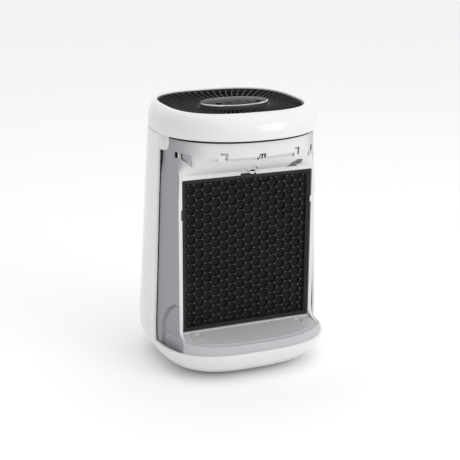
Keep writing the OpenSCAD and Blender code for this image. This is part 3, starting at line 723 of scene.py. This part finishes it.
    # Painted shade: near-black pockets behind the openings, where there is only shade.
    dark = [box("p", -136, 136, -60, -57, 430, 462)]
    for side in (-1, 1):
        dark.append(side_box("p", side, 112.0, 127.5, -79, -63.5, 427.5, 442))
    dark.append(box("p", -14, 12, -131.5, -129.5, 429.5, 446))
    dark.append(box("p", -7.2, 7.2, -99.9, -98.0, 398.2, 403.4))
    # Painted shade: a near-black neck that shows in the seam under the top band.
    t = even(math.pi + 0.05, 2 * math.pi - 0.05, 140, *NECK_SHAPE)
    neck = plan(t, *smaller(NECK_SHAPE, 4))
    dark.append(thicken(sheet("n", [lift(neck, z) for z in (455, 475)]), 1.5))
    piece(join("seam_shade_fill", *dark), SHADE_FILL)


def make_ledges():
    """Narrow shelves between the white rim and the cheeks, that the cover's sides stand on."""
    made = []
    inner_shape = body_shape(RIM_Z, SHELL_T - 0.6)
    for side in (-1, 1):
        outer, inner = [], []
        for y in np.linspace(EDGE_Y + 1, -115.5, 30):
            a, f, _, n, yc = inner_shape
            x = a * (1 - (abs(y - yc) / f) ** n) ** (1 / n)
            k = (y - EDGE_Y) / (-115.5 - EDGE_Y)
            outer.append((side * x, y, RIM_Z - 0.6))
            inner.append((side * lerp(158.0, 140.0, k), y, 51.5))
        rows = [inner, outer] if side > 0 else [outer, inner]
        made.append(thicken(sheet("l", rows), 1.5))
    return made


def make_catches():
    obs = []
    for side in (-1, 1):
        rows = []
        for k in range(13):
            a = math.pi * k / 12
            z = 434.8 + 7.0 * math.cos(a)
            x = 133.8 + 2.6 * math.sin(a)
            rows.append([(side * (x + 1.5 * math.cos(q)), HOOK_Y + 1.5 * math.sin(q), z) for q in around(12)])
        bar = solid("h", rows)
        arm = side_box("h", side, 120.0, 133.6, -76.0, -73.4, 440.4, 443.0, 0.6)
        obs += [bar, arm]
    ob = join("cover_hooks", *obs)
    turn_out(ob)
    piece(ob, WHITE, stands_for=("cover_catches",))


def make_deck():
    a, f, n = BODY_W / 2 - 6.2, 157.8, 3.0

    def front_y(x, inset=0.0):
        return -(f - inset) * (1 - (np.abs(x) / (a - inset)) ** n) ** (1 / n)

    def top(y, x=0.0):
        dip = 2.8 * smooth((8.0 - np.hypot(np.abs(x) - 105.6, y + 96.0)) / 1.4)
        return 84 + (y - FILTER_Y) * math.tan(math.radians(6)) - dip

    half = 144.0
    t = even(math.pi, 1.5 * math.pi, 3000, a, f, f, n, 0)
    px = plan(t, a, f, f, n, 0)[:, 0]
    px = px[px > -half]
    left = np.r_[-half, px[np.linspace(20, len(px) - 1, 150).astype(int)]]
    left[-1] = 0
    xs = np.r_[left, -left[:-1][::-1]]
    fy = front_y(xs)
    r = 1.7
    rows = [np.column_stack([xs, fy, np.full(len(xs), z)]) for z in (52.0, 64.0)]
    for k in range(0, 6):
        q = math.pi / 2 * k / 5
        y = fy + r * (1 - math.cos(q))
        rows.append(np.column_stack([xs, y, top(fy + r) - r + r * math.sin(q)]))
    for k in np.linspace(0.03, 1, 60):
        y = lerp(fy + r, np.full(len(xs), RIM_Y + 1.0), k)
        rows.append(np.column_stack([xs, y, top(y, xs)]))
    deck = thicken(sheet("deck", rows), 2.5)
    soften(deck, 0.7, 50, 2)
    piece(renamed(deck, "deck_skin"), DECK, stands_for=("base_deck",), angle=32)

    # Raised panel on the deck with two shallow dimples.
    pa, pf = a - 7.6, f - 8.4
    w = 120.4
    xs = np.r_[-w, -w + 0.7, np.linspace(-w + 2, w - 2, 190), w - 0.7, w]
    fy = -pf * (1 - (np.abs(xs) / pa) ** n) ** (1 / n)
    fy = fy + 4.0 * smooth((np.abs(xs) - (w - 9)) / 9) ** 2
    h = 1.3
    rim_h = np.where((np.abs(xs) > w - 0.1), -0.5, h)
    rows = [
        np.column_stack([xs, fy, top(fy) - 0.5]),
        np.column_stack([xs, fy + 0.55, top(fy) + rim_h]),
    ]
    for k in np.linspace(0.02, 1, 64):
        y = lerp(fy + 0.8, np.full(len(xs), RIM_Y - 1.2), k)
        rows.append(np.column_stack([xs, y, top(y, xs) + rim_h]))
    pan = sheet("panel", rows)
    thicken(pan, 1.0)
    piece(renamed(pan, "deck_panel"), DECK, stands_for=("deck_plate",), angle=24)


# ---- Filter

def rrect(w, h, r, seg=5):
    pts = []
    for cx, cz, a0 in ((w - r, h - r, 0), (-w + r, h - r, 90), (-w + r, -h + r, 180), (w - r, -h + r, 270)):
        for k in range(seg + 1):
            a = math.radians(a0 + 90 * k / seg)
            pts.append((cx + r * math.cos(a), cz + r * math.sin(a)))
    return np.array(pts)


def upright(p, y, zc):
    """An outline of X and Z stood up at depth y, round the height zc."""
    return np.column_stack([p[:, 0], np.full(len(p), y), p[:, 1] + zc])


def make_filter():
    zc, hh = (FILTER_Z0 + FILTER_Z1) / 2, (FILTER_Z1 - FILTER_Z0) / 2
    y0, y1 = FILTER_Y, FILTER[3]
    profile = [(0, y1), (0, y0 + 1.2), (0.35, y0 + 0.35), (1.2, y0), (4.3, y0), (4.7, y0 + 0.5),
               (5.2, y0 + 0.5), (5.5, y0 - 0.05), (6.6, y0 - 0.05), (7.0, y0 + 0.5), (7.2, y0 + 3.4), (7.2, y1)]
    rows = []
    for inset, y in profile:
        p = rrect(FILTER_X - inset, hh - inset, max(0.8, 3.0 - inset * 0.4))
        rows.append(upright(p, y, zc))
    ring = sheet("f", rows, closed=True, loop=True)
    turn_out(ring)
    tab = box("f", -15, 15, y0, y0 + 5, FILTER_Z1 - 1.0, FILTER[5], 0.8)
    piece(join("filter_frame_skin", ring, tab), FRAME_M, "filter", ("filter_frame",))

    # Honeycomb with its points to the left and right, cut off at the frame.
    pitch = 19.5
    side = pitch / math.sqrt(3)
    col_w = 1.5 * side
    hx, hz = FILTER_X - 7.0, hh - 7.0

    def clip(poly, lim_x, lim_z):
        for axis, lim, sign in ((0, lim_x, 1), (0, lim_x, -1), (1, lim_z, 1), (1, lim_z, -1)):
            out = []
            for i in range(len(poly)):
                p, q = poly[i], poly[(i + 1) % len(poly)]
                dp, dq = lim - sign * p[axis], lim - sign * q[axis]
                if dp >= 0:
                    out.append(p)
                if dp * dq < 0:
                    k = dp / (dp - dq)
                    out.append((p[0] + (q[0] - p[0]) * k, p[1] + (q[1] - p[1]) * k))
            poly = out
            if not poly:
                return []
        return poly

    sixths = [math.radians(60 * k) for k in range(6)]
    shrink = 1 - 0.75 / side
    least_area = 14
    cells, knots = [], set()
    for c in range(-8, 9):
        for r in range(-9, 9):
            cx, cz = c * col_w + 4.0, (r + (c % 2) / 2) * pitch + 3.0
            hexa = [(cx + side * math.cos(a), cz + side * math.sin(a)) for a in sixths]
            for p in hexa:
                if abs(p[0]) < hx - 1.5 and abs(p[1]) < hz - 1.5:
                    knots.add((round(p[0], 2), round(p[1], 2)))
            shrunk = [(lerp(cx, x, shrink), lerp(cz, z, shrink)) for x, z in hexa]
            poly = clip(shrunk, hx - 0.8, hz - 0.8)
            if len(poly) > 2:
                twice = sum(p[0] * q[1] - q[0] * p[1] for p, q in zip(poly, poly[1:] + poly[:1]))
                if abs(twice) > 2 * least_area:
                    cells.append(poly)
    # Knots from neighbouring cells coincide; keep one of each.
    kept = []
    for p in sorted(knots):
        if all((p[0] - q[0]) ** 2 + (p[1] - q[1]) ** 2 > 1 for q in kept[-60:]):
            kept.append(p)

    rect = [(-hx, -hz), (hx, -hz), (hx, hz), (-hx, hz)]
    pts = [Vector(p) for p in rect]
    polys = [[0, 1, 2, 3]]
    for poly in cells:
        polys.append(list(range(len(pts), len(pts) + len(poly))))
        pts.extend(Vector(p) for p in poly)
    v2, _, f2, _, _, owner = geometry.delaunay_2d_cdt(pts, [], polys, 0, 1e-5)
    yf, yb = y0 + 1.6, y0 + 5.2
    verts = [(p.x, yf, p.y + zc) for p in v2]
    faces = [tuple(f)[::-1] for f, o in zip(f2, owner) if 0 in o and len(o) == 1]
    for poly in cells:
        base = len(verts)
        m = len(poly)
        verts += [(x, yf, z + zc) for x, z in poly] + [(x, yb, z + zc) for x, z in poly]
        faces += [(base + i, base + (i + 1) % m, base + m + (i + 1) % m, base + m + i) for i in range(m)]
    comb = add("honeycomb", verts, faces)
    turn_out(comb, weld=0.02)
    piece(comb, COMB, "filter", ("carbon_grid",), angle=20)

    # Small studs on the honeycomb's knots, coloured lighter grey: painted highlight on each knot.
    verts, faces = [], []
    for x, z in kept:
        base = len(verts)
        for rad, up in ((1.25, 0.0), (1.05, 0.55), (0.6, 0.85)):
            for k in range(8):
                a = math.pi * k / 4
                verts.append((x + rad * math.cos(a), yf - up, z + zc + rad * math.sin(a)))
        verts.append((x, yf - 0.95, z + zc))
        for lev in range(2):
            for k in range(8):
                i, j = base + lev * 8 + k, base + lev * 8 + (k + 1) % 8
                faces.append((i, i + 8, j + 8, j)[::-1])
        for k in range(8):
            faces.append((base + 16 + k, base + 24, base + 16 + (k + 1) % 8)[::-1])
    studs = add("honeycomb_studs", verts, faces)
    turn_out(studs)
    piece(studs, STUD_HIGHLIGHT, "filter")

    # Loose carbon granules: a bumpy bed behind the honeycomb.
    nx, nz = 150, 172
    gx, gz = np.meshgrid(np.linspace(-hx, hx, nx), np.linspace(-hz, hz, nz))
    bump = rng.normal(0, 0.55, gx.shape)
    bump = (bump + np.roll(bump, 1, 0) + np.roll(bump, 1, 1)) / 1.7
    yy = y0 + 5.6 + np.clip(bump, -1.0, 1.0)
    rows = [np.column_stack([gx[i], yy[i], gz[i] + zc]) for i in range(nz)]
    bed = thicken(sheet("carbon_granules", rows), 7.0)
    piece(bed, CARBON, "filter", ("carbon_bed",), angle=70)


# ---- Top grille and console

CONSOLE_A, CONSOLE_B, CONSOLE_Y = 69.0, 43.0, NECK_YC
OPEN_SHAPE = (133.2, 129.7, 129.7, 2.8, 11.0)


def oval(t, grow=0.0):
    return np.column_stack([(CONSOLE_A + grow) * np.cos(t), CONSOLE_Y + (CONSOLE_B + grow) * np.sin(t)])


def make_grille():
    count = 60
    top_out, top_in, deep = LIP_Z - 3.6, LIP_Z - 6.5, 11.0
    section = ((-0.8, deep), (-0.9, 0.5), (-0.45, 0.0), (0.45, 0.0), (0.9, 0.5), (0.8, deep))
    t_out = even(math.pi / 2, math.pi / 2 + 2 * math.pi, count + 1, *OPEN_SHAPE)[:-1]
    dense = np.linspace(math.pi / 2, math.pi / 2 + 2 * math.pi, 4001)
    d = np.r_[0, np.cumsum(np.hypot(*np.diff(oval(dense), axis=0).T))]
    t_in = np.interp(np.linspace(0, d[-1], count + 1)[:-1], d, dense)
    obs = []
    verts, faces = [], []
    for k in range(count):
        a = oval(t_in[k:k + 1], 2.0)[0]
        b = plan(t_out[k:k + 1], *smaller(OPEN_SHAPE, 3.5))[0]
        d = b - a
        length = np.linalg.norm(d)
        side = np.array([-d[1], d[0]]) / length
        us = np.linspace(0, 1, 9)
        mids = a + np.outer(us, d) + np.outer(np.sin(us * math.pi) * length * 0.05, side)
        tang = np.gradient(mids, axis=0)
        tang /= np.linalg.norm(tang, axis=1)[:, None]
        nrm = np.column_stack([-tang[:, 1], tang[:, 0]])
        base = len(verts)
        for u, m, q in zip(us, mids, nrm):
            z = lerp(top_in, top_out, smooth(u)) - 1.2 * math.sin(u * math.pi)
            for off, down in section:
                verts.append((m[0] + q[0] * off, m[1] + q[1] * off, z - down))
        for i in range(8):
            for j in range(6):
                p, r = base + i * 6 + j, base + i * 6 + (j + 1) % 6
                faces.append((p, p + 6, r + 6, r))
        faces.append(tuple(base + j for j in range(6)))
        faces.append(tuple(base + 48 + j for j in range(6))[::-1])
    slats = add("s", verts, faces)
    turn_out(slats)
    obs.append(slats)
    # Outer ring that rests in the band.
    t = even(0, 2 * math.pi, 241, *OPEN_SHAPE)[:-1]
    rows = []
    for inset, down in ((0.6, 14), (0.4, 3.4), (0.9, 2.8), (2.4, 2.7), (3.4, 3.1), (3.9, 4.2), (4.2, 14)):
        rows.append(lift(plan(t, *smaller(OPEN_SHAPE, inset)), LIP_Z - down))
    obs.append(sheet("r", rows, closed=True, loop=True))
    # Two oval hoops under the slats stiffen them.
    for share in (0.36, 0.7):
        hoop = []
        for off, down in ((-0.8, 17), (-0.8, 9.5), (0.8, 9.5), (0.8, 17)):
            inner, outer = oval(t, 2.0 + off), plan(t, *smaller(OPEN_SHAPE, -off))
            hoop.append(lift(lerp(inner, outer, share), LIP_Z - down))
        obs.append(sheet("r", hoop, closed=True, loop=True))
    # Collar round the console.
    tt = around(128)
    rows = []
    for grow, down in ((0.3, 17), (0.4, 6.0), (1.0, 5.2), (2.4, 5.4), (3.2, 6.4), (3.4, 17)):
        rows.append(lift(oval(tt, grow), LIP_Z - down))
    obs.append(sheet("r", rows, closed=True, loop=True))
    ob = join("outlet_grille", *obs)
    turn_out(ob)
    piece(ob, SLATS, stands_for=("top_grille",), angle=30)


def make_console():
    base, trim, lens = span("console_base"), span("console_trim"), span("console_lens")
    t = around(160)
    rim_z = trim[5]
    outline = ((-3.0, base[4]), (-0.6, base[4] + 0.4), (-0.1, base[4] + 1.2), (-0.1, rim_z - 1.4),
               (-0.5, rim_z - 0.7), (-1.2, rim_z - 0.5), (-3.0, rim_z - 0.9))
    rows = [lift(oval(t, grow), z) for grow, z in outline]
    piece(solid("console_bowl", rows), BLACK,
          stands_for=("console_base",), angle=40)

    # Glossy domed cover with a rounded edge.
    crown = lens[5] - rim_z
    edge = ((-2.5, -0.8), (-1.5, -0.5), (-1.1, 0.1), (-1.4, 0.6), (-2.2, 0.95))
    rows = [lift(oval(t, grow), rim_z + up) for grow, up in edge]
    for k in np.linspace(0.94, 0.0, 16):
        s = max(k, 0.004)
        x, y = (CONSOLE_A - 2.2) * s * np.cos(t), CONSOLE_Y + (CONSOLE_B - 2.2) * s * np.sin(t)
        rows.append(lift(np.column_stack([x, y]), rim_z + 0.95 + (crown - 0.95) * (1 - s * s)))
    ob = solid("console_cover", rows)
    holes = []
    for key in KEYS:
        b = span("key_" + key)
        cx, cy = (b[0] + b[1]) / 2, (b[2] + b[3]) / 2
        holes.append(tube("c", (cx, cy, rim_z - 4), (cx, cy, lens[5] + 4), 5.8, sides=40))
    cut(ob, *holes)
    piece(ob, LENS, stands_for=("console_lens",), angle=30)

    # Silver crescent along the front edge, widest in the middle.
    tt = np.linspace(math.pi * 1.02, math.pi * 1.98, 90)
    rows = []
    width = 3.6 * np.clip(np.sin(tt - math.pi), 0, 1) ** 0.75 + 0.25
    outer = oval(tt, 0.0)
    centre = np.array([0.0, CONSOLE_Y])
    inward = centre - outer
    inward /= np.linalg.norm(inward, axis=1)[:, None]
    section = ((0.0, -1.6), (0.0, -0.1), (0.12, 0.35), (0.45, 0.75),
               (0.8, 0.95), (1.0, 0.9), (1.0, -0.6), (0.5, -1.6))
    for share, up in section:
        rows.append(lift(outer + inward * (width * share)[:, None], rim_z + up))
    ob = sheet("console_crescent", rows, loop=True)
    turn_out(ob, fill=True)
    piece(ob, SILVER, stands_for=("console_trim",), angle=40)


KEYS = ("power", "speed", "mode", "timer", "light")


def make_keys():
    for key in KEYS:
        b = span("key_" + key)
        cx, cy, top = (b[0] + b[1]) / 2, (b[2] + b[3]) / 2, b[5]
        r = 5.5
        t = around(48)
        outline = ((r + 1.2, b[4]), (r + 1.2, b[4] + 2.0), (r, b[4] + 2.4), (r, top - 0.9),
                   (r - 0.25, top - 0.45), (r - 0.9, top - 0.2), (r * 0.6, top - 0.25), (r * 0.3, top - 0.4), (0.05, top - 0.45))
        rows = [circle(cx, cy, rad, z, t) for rad, z in outline]
        cap = solid("k", rows)
        cap.data.materials.append(LENS)
        z0, z1 = top - 0.6, top - 0.12
        marks = []

        def ring(rad, w, a0=0.0, a1=360.0):
            """A ring or an open arc, w to each side of the radius rad."""
            q = np.radians(np.linspace(a0, a1, 37))
            section = ((rad - w, z0), (rad - w, z1), (rad + w, z1), (rad + w, z0))
            m = sheet("m", [circle(cx, cy, edge, z, q) for edge, z in section], loop=True)
            marks.append(turn_out(m, weld=0.01, fill=True))

        def bar(x0, x1, y0, y1):
            marks.append(box("m", cx + x0, cx + x1, cy + y0, cy + y1, z0, z1))

        if key == "power":
            ring(2.4, 0.3, 125, 415)
            bar(-0.3, 0.3, 0.6, 3.1)
        elif key == "speed":
            for k in (-1, 0, 1):
                bar(1.9 * k - 0.45, 1.9 * k + 0.45, -2.2, -0.4 + 1.3 * (k + 1))
        elif key == "mode":
            ring(2.6, 0.3)
            ring(0.8, 0.4)
        elif key == "timer":
            ring(2.6, 0.3)
            bar(-0.3, 0.3, -0.2, 1.9)
            bar(-0.3, 1.6, -0.4, 0.2)
        else:
            ring(1.3, 0.35)
            for k in range(4):
                a = math.pi / 2 * k
                x, y = 2.7 * math.cos(a), 2.7 * math.sin(a)
                bar(x - 0.4, x + 0.4, y - 0.4, y + 0.4)
        for m in marks:
            m.data.materials.append(ICON)
        ob = join("cap_" + key, cap, *marks)
        piece(ob, None, "key_" + key, ("key_" + key,), angle=35)


# ---- Small fittings

def make_sensor():
    """Fine net beside a smooth cap, lying in the window on the fascia's slope."""
    obs = []

    def on_slope(x, z):
        return float(front_surface(x, z)) + 1.1

    zs = np.linspace(400.2, 415.4, 11)
    for z in zs:
        rows = []
        for x in np.linspace(75.5, 95.0, 12):
            y = on_slope(x, z)
            corners = ((-0.35, -0.35), (-0.35, 0.35), (0.5, 0.35), (0.5, -0.35))
            rows.append([(x, y + dy, z + dz) for dy, dz in corners])
        obs.append(solid("g", rows))
    for x in np.linspace(76.0, 94.6, 11):
        rows = []
        for z in np.linspace(399.6, 415.8, 10):
            y = on_slope(x, z)
            corners = ((-0.4, -0.5), (0.4, -0.5), (0.4, 0.5), (-0.4, 0.5))
            rows.append([(x + dx, y + dy, z) for dx, dy in corners])
        obs.append(solid("g", rows))
    net = join("net", *obs)
    net.data.materials.append(NET)
    rows = []
    for z in np.linspace(400.6, 414.6, 8):
        rows.append([(x, on_slope(x, z) - 0.4, z) for x in np.linspace(97.6, 104.0, 5)])
    cap = thicken(sheet("g", rows), 1.5)
    cap.data.materials.append(NET)
    # Painted shade: a near-black backing behind the net and a near-black lip under it stand in for the shade
    # inside the window.
    rows = []
    for z in np.linspace(397.5, 418, 10):
        rows.append([(x, on_slope(x, z) + 3.2, z) for x in np.linspace(72, 106, 10)])
    back = thicken(sheet("g", rows), 1.0)
    back.data.materials.append(SHADE_FILL)
    lip_y = float(front_surface(88, 399.6))
    lip = box("g", 73.4, 96.5, lip_y - 0.6, lip_y + 3, 398.6, 400.0)
    lip.data.materials.append(SHADE_FILL)
    ob = join("sensor_net", net, cap, back, lip)
    turn_out(ob)
    piece(ob, None, stands_for=("sensor_grille",), angle=30)


def make_switch():
    y = -143.2

    def rib(top_x, top_half, foot_x, foot_left, foot_right, foot_z):
        """A white rib that leans back and widens towards its foot."""
        return hull("r", [
            (top_x - top_half, y, 439.9), (top_x + top_half, y, 439.9),
            (foot_x - foot_left, y + 7, foot_z), (foot_x + foot_right, y + 7, foot_z),
            (top_x, y + 5, 439), (foot_x, y + 11, foot_z + 0.2),
        ])

    ribs = [rib(-0.9, 1.1, -1.6, 1.8, 1.6, 428.2), rib(4.0, 1.0, 5.6, 1.3, 1.1, 428.6)]
    for r in ribs:
        r.data.materials.append(WHITE)
    s = span("cover_switch")
    case = box("b", s[0], s[1], s[2], s[3], s[4], s[5], 1.0)
    slot = span("switch_plunger")
    cut(case, box("c", slot[0] - 0.4, slot[1] + 0.4, s[2] - 5, slot[3] + 4, slot[4] - 0.4, slot[5] + 0.4))
    case.data.materials.append(BLACK)
    piece(join("cover_switch_body", case, *ribs), None, stands_for=("cover_switch",))
    x0, x1, y0, y1, z0, z1 = slot
    zc = (z0 + z1) / 2
    points = []
    for y, k in ((y0, 0.72), (y0 + 2.5, 1.0), (y1, 1.0)):
        points += [(x * k, y, lerp(zc, z, k)) for x in (x0, x1) for z in (z0, z1)]
    rod = hull("switch_tip", points)
    soften(rod, 0.5, 30, 3)
    piece(rod, BLACK, "switch_plunger", ("switch_plunger",))


def make_feet_and_back():
    feet = []
    x0, x1, y0, y1, z0, z1 = span("foot_pads")
    for sx in (-1, 1):
        for sy in (-1, 1):
            cx, cy = sx * (x1 - 12), sy * (y1 - 12)
            t = around(48)
            outline = ((8.0, z0 + 0.6), (9.0, z0), (11.2, z0), (11.9, z0 + 0.8), (12.0, z1))
            rows = [circle(cx, cy, r, z, t) for r, z in outline]
            feet.append(solid("p", rows))
    piece(join("feet", *feet), RUBBER, stands_for=("foot_pads",), angle=40)

    x0, x1, y0, y1, z0, z1 = span("grip_cup")
    profile = [(0.0, y1 + 2.0), (0.0, y0 + 9), (1.2, y0 + 4), (4.0, y0 + 1.2), (9.0, y0)]
    rows = []
    for inset, y in profile:
        half_w, half_h = (x1 - x0) / 2 - 0.3 - inset, (z1 - z0) / 2 - 0.3 - inset
        p = rrect(half_w, half_h, max(2.0, 8 - inset * 0.4), 8)
        rows.append(upright(p, y, (z0 + z1) / 2))
    cup = sheet("grip", rows, closed=True, cap_high=True)
    turn_out(cup)
    thicken(cup, 2.0)
    piece(renamed(cup, "grip_lining"), SATIN_WITH_SIDE_SHADE, stands_for=("grip_cup",), angle=40)

    x0, x1, y0, y1, z0, z1 = span("cord_gland")
    zc = (z0 + z1) / 2
    t = around(64)
    rows = []
    outline = ((4.1, y0), (4.1, y1 - 0.8), (4.9, y1), (7.6, y1), (8.6, y1 - 0.6), (8.9, y1 - 1.6),
               (8.9, y0 + 3), (12.9, y0 + 3), (12.9, y0))
    for r, y in outline:
        rows.append(np.column_stack([r * np.cos(t), np.full(64, y), zc + r * np.sin(t)]))
    g = sheet("cord_bushing", rows, closed=True, loop=True)
    turn_out(g)
    piece(g, RUBBER, stands_for=("cord_gland",), angle=30)

    # Dark catches in the grooves beside the shell.
    obs = []
    for z0, z1, x in ((333, 357, 158.4), (168, 192, 164.2)):
        for side in (-1, 1):
            obs.append(side_box("k", side, x - 3.0, x + 1.0, EDGE_Y + 1.5, EDGE_Y + 5, z0 + 0.4, z1 - 0.4, 0.4))
    y = RIM_Y - 0.35
    obs.append(box("k", -FILTER_X - 3.2, -FILTER_X - 0.2, y, y + 2, 312, 332, 0.4))
    piece(join("groove_catches", *obs), BLACK)
    tab = box("rim_tab", FILTER_X - 1.6, FILTER_X + 2.2, RIM_Y - 0.5, RIM_Y + 1.5, 322, 334, 0.5)
    piece(tab, WHITE)


make_shell()
make_band()
make_front()
make_catches()
make_deck()
make_filter()
make_grille()
make_console()
make_keys()
make_sensor()
make_switch()
make_feet_and_back()


# ---- Floor, light, camera

def make_stage():
    me = bpy.data.meshes.new("floor")
    me.from_pydata([(-8, -8, 0), (8, -8, 0), (8, 8, 0), (-8, 8, 0)], [], [(0, 1, 2, 3)])
    floor = linked("floor", me)
    m = bpy.data.materials.new("floor")
    m.use_nodes = True
    b = m.node_tree.nodes["Principled BSDF"]
    b.inputs["Base Color"].default_value = (0.96, 0.96, 0.96, 1)
    b.inputs["Roughness"].default_value = 0.9
    me.materials.append(m)

    world = bpy.data.worlds.new("world")
    bpy.context.scene.world = world
    world.use_nodes = True
    bg = world.node_tree.nodes["Background"]
    bg.inputs["Color"].default_value = (1, 1, 1, 1)
    wt = world.node_tree
    around = wt.nodes.new("ShaderNodeTexCoord")
    split = wt.nodes.new("ShaderNodeSeparateXYZ")
    wt.links.new(around.outputs["Generated"], split.inputs["Vector"])
    shade = wt.nodes.new("ShaderNodeMapRange")
    shade.inputs["From Min"].default_value, shade.inputs["From Max"].default_value = -0.95, -0.1
    shade.inputs["To Min"].default_value, shade.inputs["To Max"].default_value = 0.6, 1.0
    wt.links.new(split.outputs["X"], shade.inputs["Value"])
    wt.links.new(shade.outputs["Result"], bg.inputs["Strength"])

    def panel(name, at, aim, size, power):
        light = bpy.data.lights.new(name, "AREA")
        light.shape, light.size, light.size_y, light.energy = "RECTANGLE", size[0], size[1], power
        ob = linked(name, light)
        ob.location = at
        ob.rotation_mode = "QUATERNION"
        ob.rotation_quaternion = (Vector(aim) - Vector(at)).to_track_quat("-Z", "Y")

    panel("key", (1.5, -2.2, 1.5), (0, 0, 0.25), (1.3, 1.6), 15)
    panel("top", (0.0, -0.3, 2.4), (0, 0, 0.2), (2.4, 2.4), 9)

    cam = bpy.data.cameras.new("camera")
    ob = linked("camera", cam)
    azimuth, elevation, roll = (math.radians(a) for a in (-22.7, 17.4, 0.35))
    distance = 2.187
    level = math.cos(elevation)
    back = Vector((math.sin(azimuth) * level, -math.cos(azimuth) * level, math.sin(elevation)))
    at = Vector((-0.0022, 0, 0.255)) + distance * back
    right = (-back).cross(Vector((0, 0, 1))).normalized()
    up = right.cross(-back)
    r2 = math.cos(roll) * right + math.sin(roll) * up
    u2 = -math.sin(roll) * right + math.cos(roll) * up
    columns = (r2, u2, back, at)
    ob.matrix_world = Matrix([[v[i] for v in columns] for i in range(3)] + [[0, 0, 0, 1]])
    cam.sensor_width, cam.lens = 36, 36 * 1104 / 460
    cam.clip_start, cam.clip_end = 0.05, 50
    bpy.context.scene.camera = ob
    bpy.context.scene.view_settings.view_transform = "Standard"


make_stage()
